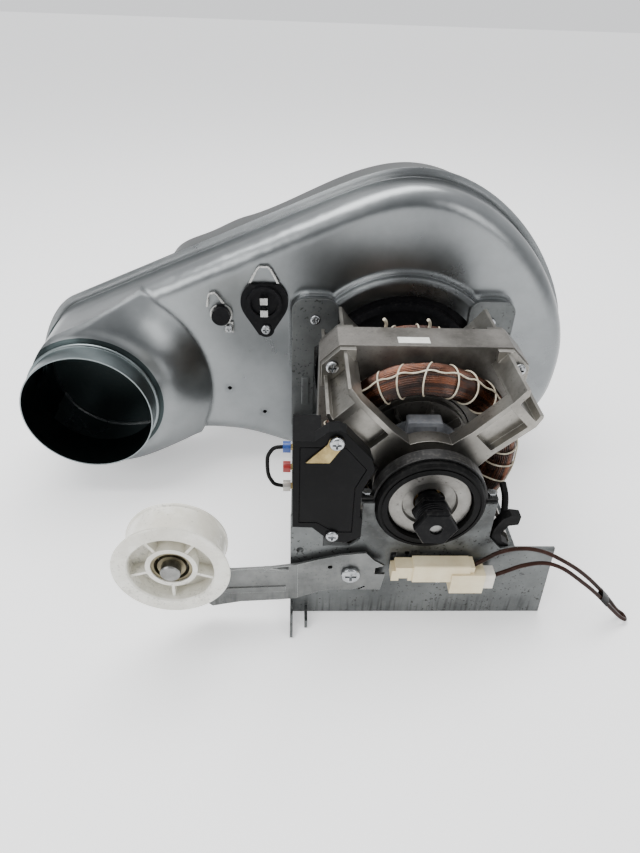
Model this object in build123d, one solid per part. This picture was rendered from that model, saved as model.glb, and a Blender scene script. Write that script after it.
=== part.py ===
from build123d import *
import math
import os

# Motor, exhaust blower, mounting bracket and belt idler of a tumble dryer.
#
# Millimetres.  +Z is up, +X is to the right and -Y is the pulley end.  The origin lies on the
# underside of the bracket's base, straight below the motor shaft.

# ---- driving dimensions ------------------------------------------------------------------
SHAFT_HEIGHT = 101.0          # motor axis above the base
SHEET = 2.0                   # bracket sheet
FIT = 0.05                    # radial clearance of a running shaft fit
GAP = 0.3                     # free clearance between neighbouring pieces

# motor, along Y
STACK_FRONT, STACK_BACK = -11.5, 14.5
STACK_HALF_WIDTH, STACK_HALF_HEIGHT, STACK_CHAMFER = 69.0, 74.2, 12.0
STATOR_BORE = 39.5
WINDING_RADIUS, WINDING_HALF_RADIAL, WINDING_HALF_AXIAL = 58.0, 11.0, 12.0
WINDING_MIDDLE = STACK_FRONT - WINDING_HALF_AXIAL - 2.0
BOLT_OFFSET = 61.0            # through bolts, from the axis, along X and along Z
BELL_ARM_FRONT, BELL_ARM_BACK = -60.0, -49.0
REAR_ARM_NEAR, REAR_ARM_FAR = 27.5, 36.0   # rear arms, from the stack
HUB_RADIUS = 34.0
RING_OUTER, RING_INNER = 34.5, 27.0
RING_FRONT, RING_BACK = -84.0, -71.0
REAR_RING_FRONT, REAR_RING_BACK = 58.0, 71.0
DISC_RADIUS, DISC_FACE = 25.8, -80.0
SHAFT_RADIUS = 6.35
SHAFT_NOSE_RADIUS = 3.9
PULLEY_TIP = -103.0
SHAFT_END = 146.0

# bracket
PLATE_FRONT = -82.0
PLATE_LEFT, PLATE_RIGHT = -87.0, 91.0
EAR_PLANE = 76.0              # front face of the rear plate
CRADLE_RADIUS = RING_OUTER + GAP
STRAP_FRONT, STRAP_BACK = -79.5, -70.5
STRAP_MIDDLES = (-75.0, 64.5)
STRAP_BOLT_X = 39.3

# blower housing
PAD_PLANE = EAR_PLANE + SHEET
FACE_PLANE = 88.0
SEAM_PLANE = 125.0
REAR_PLANE = 180.0
HOUSING_SHEET = 1.0
FLANGE_WIDTH = 6.0
FACE_ROUND = 15.0
BOSS_RADIUS = 83.0
WELL_RADIUS = 69.0
WHEEL_RADIUS, WHEEL_FRONT, WHEEL_BACK = 86.0, 97.0, 172.0
INLET_RADIUS = 70.0

# outlet
OUTLET_X, OUTLET_Z = -248.0, 81.0
OUTLET_RADIUS = 50.8          # four-inch duct
OUTLET_RIM, OUTLET_INNER_END = 43.0, 78.0
BEAD_PLANE = 65.6
DOME_RADIUS = 94.0

# idler
PIVOT_X, PIVOT_Z = -47.0, 45.0
ARM_FRONT, ARM_BACK = -87.0, -85.0
IDLER_X, IDLER_Z = -157.6, 77.6
IDLER_FRONT, IDLER_BACK = -115.0, -89.0
IDLER_FLANGE_RADIUS, IDLER_BARREL_RADIUS = 35.3, 30.6
AXLE_RADIUS = 6.1
BEARING_RADIUS = 12.6

# wire loop between the connector halves
WIRE_RADIUS = 1.4


# ---- small helpers -----------------------------------------------------------------------
def upright(y):
    """Plane across the motor axis, facing the pulley end, with x right and z up."""
    return Plane((0, y, 0), x_dir=(1, 0, 0), z_dir=(0, -1, 0))


def slab(sketch, y_front, y_back):
    """Sketch in x and z given a thickness along Y."""
    return extrude(upright(y_back) * sketch, amount=y_back - y_front)


def area(*points):
    return make_face(Polyline(*points, close=True))


def rod(x, z, radius, y_front, y_back):
    return slab(Pos(x, z) * Circle(radius), y_front, y_back)


def tube(x, z, outer, inner, y_front, y_back):
    return slab(Pos(x, z) * (Circle(outer) - Circle(inner)), y_front, y_back)


def hexagon(x, z, across_flats, y_front, y_back):
    shape = RegularPolygon(across_flats / 2, 6, major_radius=False)
    return slab(Pos(x, z) * Rot(0, 0, 0) * shape, y_front, y_back)


def turned(x, z, *profile):
    """Body of revolution about a line along Y; the profile is (radius, y) points."""
    return Pos(x, 0, z) * revolve(make_face(Polyline(*profile, close=True)), Axis.Y)


def box(x, y, z):
    """Box between pairs of coordinates."""
    size = Box(x[1] - x[0], y[1] - y[0], z[1] - z[0])
    return Pos((x[0] + x[1]) / 2, (y[0] + y[1]) / 2, (z[0] + z[1]) / 2) * size


def on_axis(shape):
    """Lift a shape that was drawn about the origin to the motor axis."""
    return Pos(0, 0, SHAFT_HEIGHT) * shape


def screw(x, z, y_face, head_radius, head_height, shank_radius, depth, facing=-1):
    """Domed cross-recess screw: the head stands on y_face, on the side it faces."""
    outer = y_face + facing * head_height
    head = rod(x, z, head_radius, min(outer, y_face), max(outer, y_face))
    crown = head.faces().sort_by(Axis.Y)[0 if facing < 0 else -1]
    head = fillet(crown.edges(), head_height * 0.55)
    inner = y_face - facing * depth
    shank = rod(x, z, shank_radius, min(inner, y_face), max(inner, y_face))
    slot = head_radius * 0.28
    reach = head_radius * 0.6
    cut_end = outer - facing * head_height * 0.6
    low, high = min(outer, cut_end) - 0.1, max(outer, cut_end) + 0.1
    if facing < 0:
        high -= 0.1
    else:
        low += 0.1
    cross = box((x - reach, x + reach), (low, high), (z - slot / 2, z + slot / 2))
    cross += box((x - slot / 2, x + slot / 2), (low, high), (z - reach, z + reach))
    return head + shank - cross


def group(*shapes):
    """Several separate solids under one name."""
    solids = []
    for shape in shapes:
        solids.extend(shape.solids())
    return Compound(solids)


def mirrored_in_stack(shape):
    """The same shape at the other end of the motor."""
    middle = (STACK_FRONT + STACK_BACK) / 2
    return mirror(shape, about=Plane((0, middle, 0), z_dir=(0, 1, 0)))


# ---- bracket -----------------------------------------------------------------------------
def base_bracket():
    """Base, front cradle plate, left side flange and locating tongue, bent from one sheet."""
    left, right = PLATE_LEFT, PLATE_RIGHT
    outline = area(
        (left, 0), (right, 0), (88, 64), (51, 64), (42, 74), (42, SHAFT_HEIGHT + 8),
        (-42, SHAFT_HEIGHT + 8), (-42, 72), (-48, 66), (-66, 66), (-66, 92), (left, 92),
    )
    front = slab(outline, PLATE_FRONT, PLATE_FRONT + SHEET)
    front -= rod(0, SHAFT_HEIGHT, CRADLE_RADIUS, PLATE_FRONT - 1, PLATE_FRONT + SHEET + 1)
    front -= box((-60, 60), (PLATE_FRONT - 1, PLATE_FRONT + 3), (SHAFT_HEIGHT + 2, 140))
    front -= box((-20.8, -16.9), (PLATE_FRONT - 1, PLATE_FRONT + 3), (48, 60))
    front -= box((-11.6, -8.2), (PLATE_FRONT - 1, PLATE_FRONT + 3), (55, 61))
    front -= rod(-80.7, 62, 2.4, PLATE_FRONT - 1, PLATE_FRONT + 3)
    front -= rod(PIVOT_X, PIVOT_Z, 3.1, PLATE_FRONT - 1, PLATE_FRONT + 3)
    front -= rod(13.7, 33.5, 1.3, PLATE_FRONT - 1, PLATE_FRONT + 3)
    front -= rod(-61.2, 85.8, 2.2, PLATE_FRONT - 1, PLATE_FRONT + 3)
    for x in (-58.6, -24.3, 20.3, 52.2):
        front -= box((x - 3, x + 3), (PLATE_FRONT - 1, PLATE_FRONT + 0.6), (-1, 2.5))
    base = box((left, right), (PLATE_FRONT, EAR_PLANE), (0, SHEET))
    for x in (-65, 65):
        for y in (-55, 55):
            base -= Pos(x, y, 0) * Cylinder(3.25, 10)
    base -= Pos(30, 10, 0) * Box(40, 50, 10)
    base -= Pos(-35, 10, 0) * Box(30, 50, 10)
    side = box((left, left + SHEET), (PLATE_FRONT, EAR_PLANE), (0, 58))
    side -= box((left - 1, left + 3), (-45, 45), (18, 44))
    lip = box((-66, -50), (PLATE_FRONT + SHEET, PLATE_FRONT + SHEET + 5), (64, 66))
    tongue = box((left, left + SHEET), (PLATE_FRONT - 22, PLATE_FRONT), (0, 10))
    tongue -= Pos(left + 1, PLATE_FRONT - 22, 10) * Rot(20, 0, 0) * Box(6, 30, 8)
    blade = slab(area((0, 0), (0, 7), (-2, 7), (-2, 0)), -96, PLATE_FRONT)
    tongue += Pos(left + 12, 0, 0) * blade
    return front + strap_shelves(PLATE_FRONT + 1, STRAP_BACK) + base + side + lip + tongue


def strap_shelves(y_front, y_back):
    """Two small shelves bent from a cradle plate, for the strap bolts to screw into."""
    shelves = []
    for side in (-1, 1):
        low, high = sorted((side * 35.5, side * 43))
        shelf = box((low, high), (y_front, y_back), (SHAFT_HEIGHT - 0.4, SHAFT_HEIGHT + 2))
        for y in STRAP_MIDDLES:
            shelf -= Pos(side * STRAP_BOLT_X, y, SHAFT_HEIGHT) * Cylinder(1.8, 30)
        shelves.append(shelf)
    return shelves[0] + shelves[1] - rod(0, SHAFT_HEIGHT, CRADLE_RADIUS, y_front - 1, y_back + 1)


def rear_plate():
    """Upright plate behind the motor, with two ears that carry the housing."""
    front, back = EAR_PLANE, EAR_PLANE + SHEET
    low = slab(area((-86, 2), (85, 2), (85, 60), (42, 62), (42, SHAFT_HEIGHT + 8),
                    (-42, SHAFT_HEIGHT + 8), (-42, 62), (-86, 60)), front, back)
    low -= rod(0, SHAFT_HEIGHT, 40, front - 1, back + 1)
    low -= box((-60, 60), (front - 1, back + 1), (SHAFT_HEIGHT + 2, 130))
    ears = low
    for sign, outer, inner, strip in ((-1, -88.0, -52.0, -70.0), (1, 85.5, 49.5, 68.0)):
        flag = area((outer, 50), (strip, 50), (strip, 126), (inner, 136), (inner, 167), (outer, 167))
        ear = slab(flag, front, back)
        corners = ear.edges().filter_by(Axis.Y).group_by(Axis.Z)[-1]
        ears += fillet(corners, 10)
    ears += box((-79.5, -74), (front - 1.5, front), (72, 98))
    for x in (-70, 67):
        ears -= rod(x, 150, 2.6, front - 1, back + 1)
    return ears + strap_shelves(60.0, front + 1)


def cradle(y_front, y_back, plate_front):
    """Rubber ring that carries one end of the motor."""
    ring = turned(0, SHAFT_HEIGHT, (RING_INNER, y_front), (RING_OUTER - 1.5, y_front),
                  (RING_OUTER, y_front + 1.5), (RING_OUTER, y_back - 1), (RING_OUTER - 1, y_back),
                  (RING_INNER, y_back))
    groove = tube(0, SHAFT_HEIGHT, 31.4, 30.4, y_front - 1, y_front + 0.8)
    return ring - groove


def strap(y_front, y_back):
    """Steel band over a rubber ring, with a bolt tab at each end."""
    inner = RING_OUTER + GAP
    outer = inner + 1.4
    low = SHAFT_HEIGHT + 2.3
    band = tube(0, SHAFT_HEIGHT, outer, inner, y_front, y_back)
    band -= box((-80, 80), (y_front - 1, y_back + 1), (0, low))
    keep = tube(0, SHAFT_HEIGHT, 90, inner, y_front, y_back)
    for side in (-1, 1):
        near, far = sorted((side * (inner - 1), side * 43))
        tab = box((near, far), (y_front, y_back), (low, low + 1.6)) & keep
        band += tab - Pos(side * STRAP_BOLT_X, (y_front + y_back) / 2, low) * Cylinder(1.8, 10)
    return band


def strap_bolts():
    """Hexagon bolts through the tabs of both straps, into the shelves of the plates."""
    bolts = []
    top = SHAFT_HEIGHT + 3.9
    for y in STRAP_MIDDLES:
        for x in (-STRAP_BOLT_X, STRAP_BOLT_X):
            head = Pos(x, y, top) * extrude(RegularPolygon(3.0, 6), amount=2.4)
            shank = Pos(x, y, top - 5) * Cylinder(1.5, 10)
            bolts.append(head + shank)
    return group(*bolts)


# ---- motor -------------------------------------------------------------------------------
def stator_core():
    """Laminated stack: clipped rectangle, round bore, 24 closed slots."""
    w, h, c = STACK_HALF_WIDTH, STACK_HALF_HEIGHT, STACK_CHAMFER
    outline = area((-w, -h + c), (-w + c, -h), (w - c, -h), (w, -h + c),
                   (w, h - c), (w - c, h), (-w + c, h), (-w, h - c))
    outline -= Circle(STATOR_BORE)
    slot = Pos(54, 0) * SlotOverall(17, 5.5)
    for k in range(24):
        outline -= Rot(0, 0, k * 15 + 7.5) * slot
    for x in (-BOLT_OFFSET, BOLT_OFFSET):
        for z in (-BOLT_OFFSET, BOLT_OFFSET):
            outline -= Pos(x, z) * Circle(2.6)
    return on_axis(slab(outline, STACK_FRONT, STACK_BACK))


def winding():
    """Wound copper head on the front of the stack: a fat oval ring."""
    middle = WINDING_MIDDLE
    section = Pos(WINDING_RADIUS, middle) * Ellipse(WINDING_HALF_RADIAL, WINDING_HALF_AXIAL)
    return on_axis(revolve(section, Axis.Y))


def winding_lacing():
    """Cord lashed round the winding head, one loop after another."""
    loops = []
    middle = WINDING_MIDDLE
    for k in range(18):
        outer = Ellipse(WINDING_HALF_RADIAL + 1.4, WINDING_HALF_AXIAL + 0.95)
        inner = Ellipse(WINDING_HALF_RADIAL + 0.2, WINDING_HALF_AXIAL + 0.2)
        hoop = extrude(Pos(WINDING_RADIUS, middle) * (outer - inner), amount=0.6, both=True)
        loops.append(Rot(0, k * 20 + 6, 0) * hoop)
    return on_axis(group(*loops))


def slot_insulators():
    """Cuffs of slot paper that stand out of both faces of the stack."""
    cuffs = []
    for k in range(24):
        outer, inner = SlotOverall(16.4, 4.9), SlotOverall(15.2, 3.7)
        cuff = slab(Pos(54, 0) * (outer - inner), STACK_FRONT - 0.7, STACK_BACK + 0.7)
        cuffs.append(Rot(0, k * 15 + 7.5, 0) * cuff)
    return on_axis(group(*cuffs))


def bell_quarter(arm_back, arm_front):
    """One corner of an end bell: foot pad, two leg walls, diagonal arm with a cast pocket.

    It is drawn about the axis in the +x, +z quarter, with the stack face at y = 0.
    """
    whole = area((45.5, 63), (24, 40.5), (12, 30.5), (30.5, 12), (40.5, 24), (63, 45.5), (66, 52),
                 (66, 61), (55.5, 72), (52, 72))
    corner = area((40, 66), (66, 40), (80, 40), (80, 80), (40, 80))
    arm = slab(whole - corner, arm_front, arm_back)
    leg = slab(whole & corner, arm_front, 0)
    scoop = area((54, 90), (54, 68), (49.5, 62), (62, 49.5), (64, 54), (90, 54))
    leg -= slab(scoop, arm_front - 1, -4)
    pad = slab(area((46, 66), (46, 73.4), (56.5, 73.4), (68, 62), (68, 46), (66, 46)), -4.5, 0)
    pocket = area((45.5, 58), (27, 38.5), (38.5, 27), (58, 45.5))
    arm -= slab(pocket, arm_front - 1, arm_front + 6)
    quarter = arm + leg + pad
    quarter -= rod(BOLT_OFFSET, BOLT_OFFSET, 2.6, arm_front - 10, 1)
    return quarter


def bell_body(arm_back, arm_front):
    """Hub disc with its four corners, about the axis, with the stack face at y = 0."""
    body = rod(0, 0, HUB_RADIUS, arm_front, arm_back)
    quarter = bell_quarter(arm_back, arm_front)
    left = mirror(quarter, about=Plane.YZ)
    body += quarter + left + mirror(quarter, about=Plane.XY) + mirror(left, about=Plane.XY)
    return body


def front_end_bell():
    """Die-cast front end bell, with a stepped neck for the cap and the cushion ring."""
    bell = Pos(0, STACK_FRONT, 0) * bell_body(BELL_ARM_BACK - STACK_FRONT, BELL_ARM_FRONT - STACK_FRONT)
    bell += rod(0, 0, RING_INNER - 0.1, RING_BACK + 0.1, BELL_ARM_FRONT)
    bell += rod(0, 0, 25.4, -76, RING_BACK + 0.1)
    bell -= rod(0, 0, 14, -80, BELL_ARM_BACK + 3)
    return on_axis(bell)


def rear_end_bell():
    """Shallower rear end bell, with the neck for the rear cushion ring."""
    bell = bell_body(-REAR_ARM_NEAR, -REAR_ARM_FAR)
    bell = Pos(0, STACK_BACK, 0) * mirror(bell, about=Plane.XZ)
    bell += rod(0, 0, RING_INNER - 0.1, STACK_BACK + REAR_ARM_FAR, REAR_RING_BACK)
    bell -= rod(0, 0, 14, 20, REAR_RING_BACK + 1)
    return on_axis(bell)


def bearing(y_front, y_back):
    """Plain self-aligning bearing in an end bell."""
    return tube(0, SHAFT_HEIGHT, 14, SHAFT_RADIUS + FIT, y_front, y_back)


def through_bolts():
    """Four long screws that clamp the end bells to the stack."""
    bolts = []
    for x in (-BOLT_OFFSET, BOLT_OFFSET):
        for z in (-BOLT_OFFSET, BOLT_OFFSET):
            bolt = screw(x, SHAFT_HEIGHT + z, STACK_FRONT - 4.5, 4.4, 3.4, 2.2, 36)
            nut = hexagon(x, SHAFT_HEIGHT + z, 7, STACK_BACK + 4.5, STACK_BACK + 7.9)
            bolts.append(bolt + nut)
    return group(*bolts)


def hub_disc():
    """Pressed steel dust cap on the front hub, with a recessed centre."""
    return turned(0, SHAFT_HEIGHT, (10, -76.2), (10, -77.2), (16.8, -77.2), (17.6, DISC_FACE),
                  (DISC_RADIUS, DISC_FACE), (26.6, -79.3), (26.6, -71.4), (25.6, -71.4),
                  (25.6, -79.0), (18.4, -79.0), (17.6, -76.2))


def motor_shaft():
    """Stepped shaft from the pulley nose to the blower wheel."""
    return turned(0, SHAFT_HEIGHT, (0, -101.5), (SHAFT_NOSE_RADIUS, -101.5),
                  (SHAFT_NOSE_RADIUS, -86), (SHAFT_RADIUS, -86), (SHAFT_RADIUS, SHAFT_END),
                  (0, SHAFT_END))


def rotor_core():
    """Squirrel-cage rotor with cast end rings and fan fins."""
    core = tube(0, SHAFT_HEIGHT, STATOR_BORE - 0.7, SHAFT_RADIUS, STACK_FRONT - 1, STACK_BACK + 1)
    for front, back in ((STACK_FRONT - 7, STACK_FRONT - 1), (STACK_BACK + 1, STACK_BACK + 7)):
        core += tube(0, SHAFT_HEIGHT, 36.5, 22, front, back)
    fin = box((25, 35.5), (STACK_FRONT - 16, STACK_FRONT - 6.5), (-0.9, 0.9))
    rear_fin = box((25, 35.5), (STACK_BACK + 6.5, STACK_BACK + 16), (-0.9, 0.9))
    for k in range(9):
        turn = Rot(0, k * 40, 0)
        core += on_axis(turn * fin) + on_axis(turn * rear_fin)
    return core


def governor_plate():
    """Centrifugal switch carrier pressed on the shaft, with its two weights."""
    plate = tube(0, SHAFT_HEIGHT, 30, SHAFT_RADIUS, -31, -29)
    for angle in (0, 180):
        weight = Pos(0, -35, 27) * Box(23, 10, 13)
        weight = fillet(weight.edges().filter_by(Axis.Y), 1.5)
        weight -= Pos(0, -40, 27) * Box(15, 3, 7)
        plate += on_axis(Rot(0, angle, 0) * weight)
    return plate


def governor_collar():
    """Collar that the weights push along the shaft to work the start switch."""
    return turned(0, SHAFT_HEIGHT, (SHAFT_RADIUS + FIT, -46), (12, -46), (12, -44), (8.6, -44),
                  (8.6, -40), (SHAFT_RADIUS + FIT, -40))


def drive_pulley():
    """Black steel pulley: hexagon nose, grooved belt seat, hexagon shoulder, round neck."""
    nose = hexagon(0, SHAFT_HEIGHT, 23.4, PULLEY_TIP, PULLEY_TIP + 5)
    nose = chamfer(nose.faces().sort_by(Axis.Y)[0].edges(), 0.8)
    shoulder = hexagon(0, SHAFT_HEIGHT, 21.6, -88.5, -85.5)
    seat = []
    y = PULLEY_TIP + 5
    seat.append((0, y))
    while y < -89:
        seat.append((10.4, y))
        seat.append((8.8, y + 0.95))
        y += 1.9
    seat.append((10.4, y))
    seat.append((9.2, -88.5))
    seat.append((9.2, -78.2))
    seat.append((0, -78.2))
    body = turned(0, SHAFT_HEIGHT, *seat) + nose + shoulder
    body -= rod(0, SHAFT_HEIGHT, SHAFT_NOSE_RADIUS, PULLEY_TIP - 1, -86)
    body -= rod(0, SHAFT_HEIGHT, SHAFT_RADIUS, -86, -70)
    return body


# ---- switch ------------------------------------------------------------------------------
def switch_case():
    """Moulded start switch body, with a screw boss at the top and at the bottom."""
    front, back = -92.0, -82.4
    outline = area((-85.8, 92.5), (-73.7, 92), (-62.2, 80.5), (-52.7, 79), (-43.2, 84), (-43.2, 98.5),
                   (-45, 101), (-45, 122), (-38.5, 138), (-41, 146), (-56, 163.5), (-60, 165.5),
                   (-66, 164.7), (-70, 161), (-73.5, 158), (-85.8, 158))
    case = slab(outline, front, back)
    case += box((-85.8, -69.5), (back, -66), (99, 158))
    case += box((-69.5, -50), (back, -74), (112, 150))
    rim = area((-82, 96), (-71, 96), (-60, 88), (-49, 88), (-49, 124), (-43, 138), (-56, 154), (-82, 154))
    case -= slab(rim, front - 1, front + 1.2)
    lid = area((-81.6, 96.4), (-71, 96.4), (-60, 88.4), (-49.4, 88.4), (-49.4, 124),
               (-43.6, 138), (-56, 153.4), (-81.6, 153.4))
    case += slab(lid, front + 0.2, front + 1.2)
    case -= rod(-61.4, 157.9, 2.2, front - 1, back + 20)
    case -= rod(-61.2, 85.8, 2.2, front - 1, back + 20)
    return case


def switch_tab():
    """Brass contact strip under the upper screw."""
    tab = area((-78.5, 143.5), (-65, 143.5), (-57.6, 155.5), (-57.6, 160), (-61.5, 162), (-65.4, 160),
               (-66.5, 156.5))
    piece = slab(tab, -93.0, -92.1)
    return piece - rod(-61.4, 157.9, 2.2, -95, -90)


def switch_screws():
    upper = screw(-61.4, 157.9, -93.0, 4.3, 2.6, 2.0, 12)
    lower = screw(-61.2, 85.8, -92.0, 4.0, 2.6, 2.0, 12)
    return group(upper, lower)


def switch_lever():
    """Spring-loaded fork inside the motor that follows the governor collar."""
    fork = box((-49.5, -9), (-47.8, -46.4), (SHAFT_HEIGHT + 1, SHAFT_HEIGHT + 6))
    link = box((-49.5, -46.5), (-80, -46.4), (SHAFT_HEIGHT + 1, SHAFT_HEIGHT + 16))
    return fork + link


def switch_blades():
    blades = [box((-90.5, -85.8), (-78.5, -73.5), (z - 0.4, z + 0.4)) for z in (112, 127, 142)]
    return group(*blades)


def crimp(z):
    """Insulated crimp sleeve pushed over a blade."""
    sleeve = Pos(-89.4, -76, z) * Box(4.6, 6.4, 6.4)
    sleeve = fillet(sleeve.edges().filter_by(Axis.X), 2.6)
    return sleeve - box((-95, -85), (-78.8, -73.2), (z - 0.7, z + 0.7))


# ---- blower ------------------------------------------------------------------------------
SCROLL = [(-266, 139.5), (-200, 168.2), (-128, 199.5), (-58, 230), (-22, 243), (6, 246.6), (40, 240),
          (86, 211), (120, 168), (138, 122), (139.5, 92), (133, 62), (110, 36), (80, 19), (42, 10.5),
          (0, 8.8), (-58, 9.2), (-92, 16.5), (-122, 27), (-153, 31.5), (-186, 29), (-214, 20), (-246, 15),
          (-281, 29), (-300.5, 72), (-290, 113)]


REAR_SCROLL = [(-128, 198), (-58, 228.4), (-22, 241.4), (6, 245), (40, 238.4), (85, 209.6),
               (118.6, 167.3), (136.4, 122), (138, 92), (131.6, 62.4), (109, 37.2), (79.5, 20.5), (42, 12),
               (0, 10.4), (-58, 10.8), (-92, 18), (-122, 32), (-160, 52), (-188, 92), (-199, 140),
               (-188, 170), (-160, 183.8)]


def scroll_outline(inset=0.0, corners=SCROLL):
    """Smooth closed outline of a drawn housing wall, each point moved inwards by inset."""
    points = []
    for k, (x, z) in enumerate(corners):
        before, after = corners[k - 1], corners[(k + 1) % len(corners)]
        along = (after[0] - before[0], after[1] - before[1])
        scale = inset / math.hypot(*along)
        points.append((x + along[1] * scale, z - along[0] * scale))
    return make_face(Wire([Spline(*points, periodic=True)]))


def pan(inset, y_front, rounding):
    """Solid block of the front pan between a plane and the seam."""
    block = slab(scroll_outline(inset), y_front, SEAM_PLANE)
    front = block.faces().sort_by(Axis.Y)[0]
    return fillet(front.edges(), rounding)


def dome(inset):
    """Drawn shoulder that carries the outlet collar, about the outlet's axis."""
    neck = OUTLET_RADIUS + GAP + HOUSING_SHEET - inset
    lift = inset
    path = [(0, 62 + lift), (neck, 62 + lift), (neck + 2.5, 63.5 + lift), (neck + 10, 66 + lift),
            (neck + 20, 71 + lift), (neck + 29, 77.5 + lift), (neck + 36, 84 + lift),
            (DOME_RADIUS - inset, FACE_PLANE + 1.2 + lift), (DOME_RADIUS - inset, FACE_PLANE + FACE_ROUND + 1),
            (0, FACE_PLANE + FACE_ROUND + 1)]
    curve = Spline(*path[1:-2])
    lines = [Line(path[-1], path[0]), Line(path[0], path[1]), curve, Line(path[-3], path[-2]),
             Line(path[-2], path[-1])]
    body = revolve(make_face(Wire(lines)), Axis.Y)
    body = Pos(OUTLET_X, 0, OUTLET_Z) * body
    limit = slab(scroll_outline(inset + 0.3), 50, FACE_PLANE + 30)
    return body & limit


def raised_seat(inset):
    """Round boss and two ear pads that stand forward of the housing face."""
    lift = inset
    seat = slab(Pos(0, SHAFT_HEIGHT) * Circle(BOSS_RADIUS - inset), PAD_PLANE + lift, FACE_PLANE + 2)
    for x0, x1 in ((-87, -53), (50.5, 84.5)):
        pad = slab(area((x0 + inset, 100), (x1 - inset, 100), (x1 - inset, 166 - inset),
                        (x0 + inset, 166 - inset)), PAD_PLANE + lift, FACE_PLANE + 2)
        pad = fillet(pad.edges().filter_by(Axis.Y).group_by(Axis.Z)[-1], 12 - inset)
        seat += pad
    return seat


def housing_front():
    """Front half of the blower housing: pan, rolled edge flange, dome, boss and shaft well."""
    sheet = HOUSING_SHEET
    outer = pan(0, FACE_PLANE, FACE_ROUND) + dome(0) + raised_seat(0)
    inner = pan(sheet, FACE_PLANE + sheet, FACE_ROUND - sheet) + dome(sheet) + raised_seat(sheet)
    shell = outer - inner
    shell -= rod(OUTLET_X, OUTLET_Z, OUTLET_RADIUS + GAP, 50, FACE_PLANE + 20)
    flange = slab(scroll_outline(-FLANGE_WIDTH) - scroll_outline(sheet),
                  SEAM_PLANE - 1.2, SEAM_PLANE)
    shell += flange
    shell -= rod(0, SHAFT_HEIGHT, WELL_RADIUS, PAD_PLANE - 2, FACE_PLANE + 6)
    for x, z, r in ((-140.4, 78.9, 1.8), (-111.2, 55.1, 1.8), (-108.5, 137, 1.6), (-138, 136.4, 1.6),
                    (-109.5, 159.5, 13.6), (-143.5, 148, 6.0)):
        shell -= rod(x, z, r, FACE_PLANE - 2, FACE_PLANE + 3)
    for x in (-70, 67):
        shell -= rod(x, 150, 2.0, PAD_PLANE - 2, PAD_PLANE + 3)
    return shell


def shaft_seal_plate():
    """Black plate that closes the well round the shaft."""
    return turned(0, SHAFT_HEIGHT, (9, 88), (9, 86.6), (55, 86.6), (56.5, 79), (61.5, 79), (62.5, 83),
                  (68.3, 83), (68.6, 79.3), (75, 79.3), (75, 80.7), (70, 80.7), (70, 84.4), (61, 84.4),
                  (60.5, 80.4), (57.8, 80.4), (56.6, 88))


def rear_bulge(inset, y_front, rounding):
    """Deep part of the rear pan, round the wheel."""
    block = slab(scroll_outline(inset, REAR_SCROLL), y_front, REAR_PLANE - inset)
    back = block.faces().sort_by(Axis.Y)[-1]
    return fillet(back.edges(), rounding)


def housing_rear():
    """Rear half of the housing: flat cover, deep scroll pan, seam flange, inlet mouth."""
    sheet = HOUSING_SHEET
    cover = slab(scroll_outline(-FLANGE_WIDTH), SEAM_PLANE, SEAM_PLANE + 1.2)
    shell = cover + rear_bulge(0, SEAM_PLANE + 0.6, 8) - rear_bulge(sheet, SEAM_PLANE - 1, 8 - sheet)
    shell -= rod(0, SHAFT_HEIGHT, INLET_RADIUS + 0.5, REAR_PLANE - 20, REAR_PLANE + 5)
    mouth = tube(0, SHAFT_HEIGHT, INLET_RADIUS + 1.2, INLET_RADIUS, REAR_PLANE - 9, REAR_PLANE)
    return shell + mouth


def outlet_collar():
    """Round spigot for the exhaust duct, with a stop bead."""
    outer, inner = OUTLET_RADIUS, OUTLET_RADIUS - 0.9
    return turned(OUTLET_X, OUTLET_Z, (inner, OUTLET_RIM), (outer, OUTLET_RIM), (outer, BEAD_PLANE - 5.4),
                  (outer + 1.4, BEAD_PLANE - 5.0), (outer + 1.9, BEAD_PLANE - 4.2),
                  (outer + 1.4, BEAD_PLANE - 3.8),
                  (outer, BEAD_PLANE - 3.6), (outer, OUTLET_INNER_END), (inner, OUTLET_INNER_END))


def inlet_seal():
    """Felt ring round the inlet mouth, against the dryer's air duct."""
    return tube(0, SHAFT_HEIGHT, INLET_RADIUS + 14, INLET_RADIUS + 5.5, REAR_PLANE, REAR_PLANE + 5)


def blower_wheel():
    """Wheel with a back plate, forward-curved blades and a front ring."""
    wheel = tube(0, 0, WHEEL_RADIUS, SHAFT_RADIUS, WHEEL_FRONT, WHEEL_FRONT + 2)
    wheel += tube(0, 0, WHEEL_RADIUS, WHEEL_RADIUS - 13, WHEEL_BACK - 2, WHEEL_BACK)
    wheel += tube(0, 0, 15, SHAFT_RADIUS, WHEEL_FRONT, WHEEL_FRONT + 32)
    blade = Pos(WHEEL_RADIUS - 8, 4) * (Circle(9) - Circle(7.8)) & Pos(WHEEL_RADIUS - 8, -6) * Rectangle(13, 12)
    blade = slab(blade, WHEEL_FRONT + 1, WHEEL_BACK - 1)
    blades = [Rot(0, k * 12, 0) * blade for k in range(30)]
    wheel = wheel.fuse(*blades)
    return on_axis(wheel)


def wheel_clamp():
    """Nut and washer that hold the wheel on the shaft."""
    washer = tube(0, SHAFT_HEIGHT, 13, SHAFT_RADIUS + FIT, WHEEL_FRONT + 32, WHEEL_FRONT + 34)
    nut = hexagon(0, SHAFT_HEIGHT, 19, WHEEL_FRONT + 34, WHEEL_FRONT + 44)
    return washer + nut - rod(0, SHAFT_HEIGHT, SHAFT_RADIUS + FIT, WHEEL_FRONT + 30, WHEEL_FRONT + 50)


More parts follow.
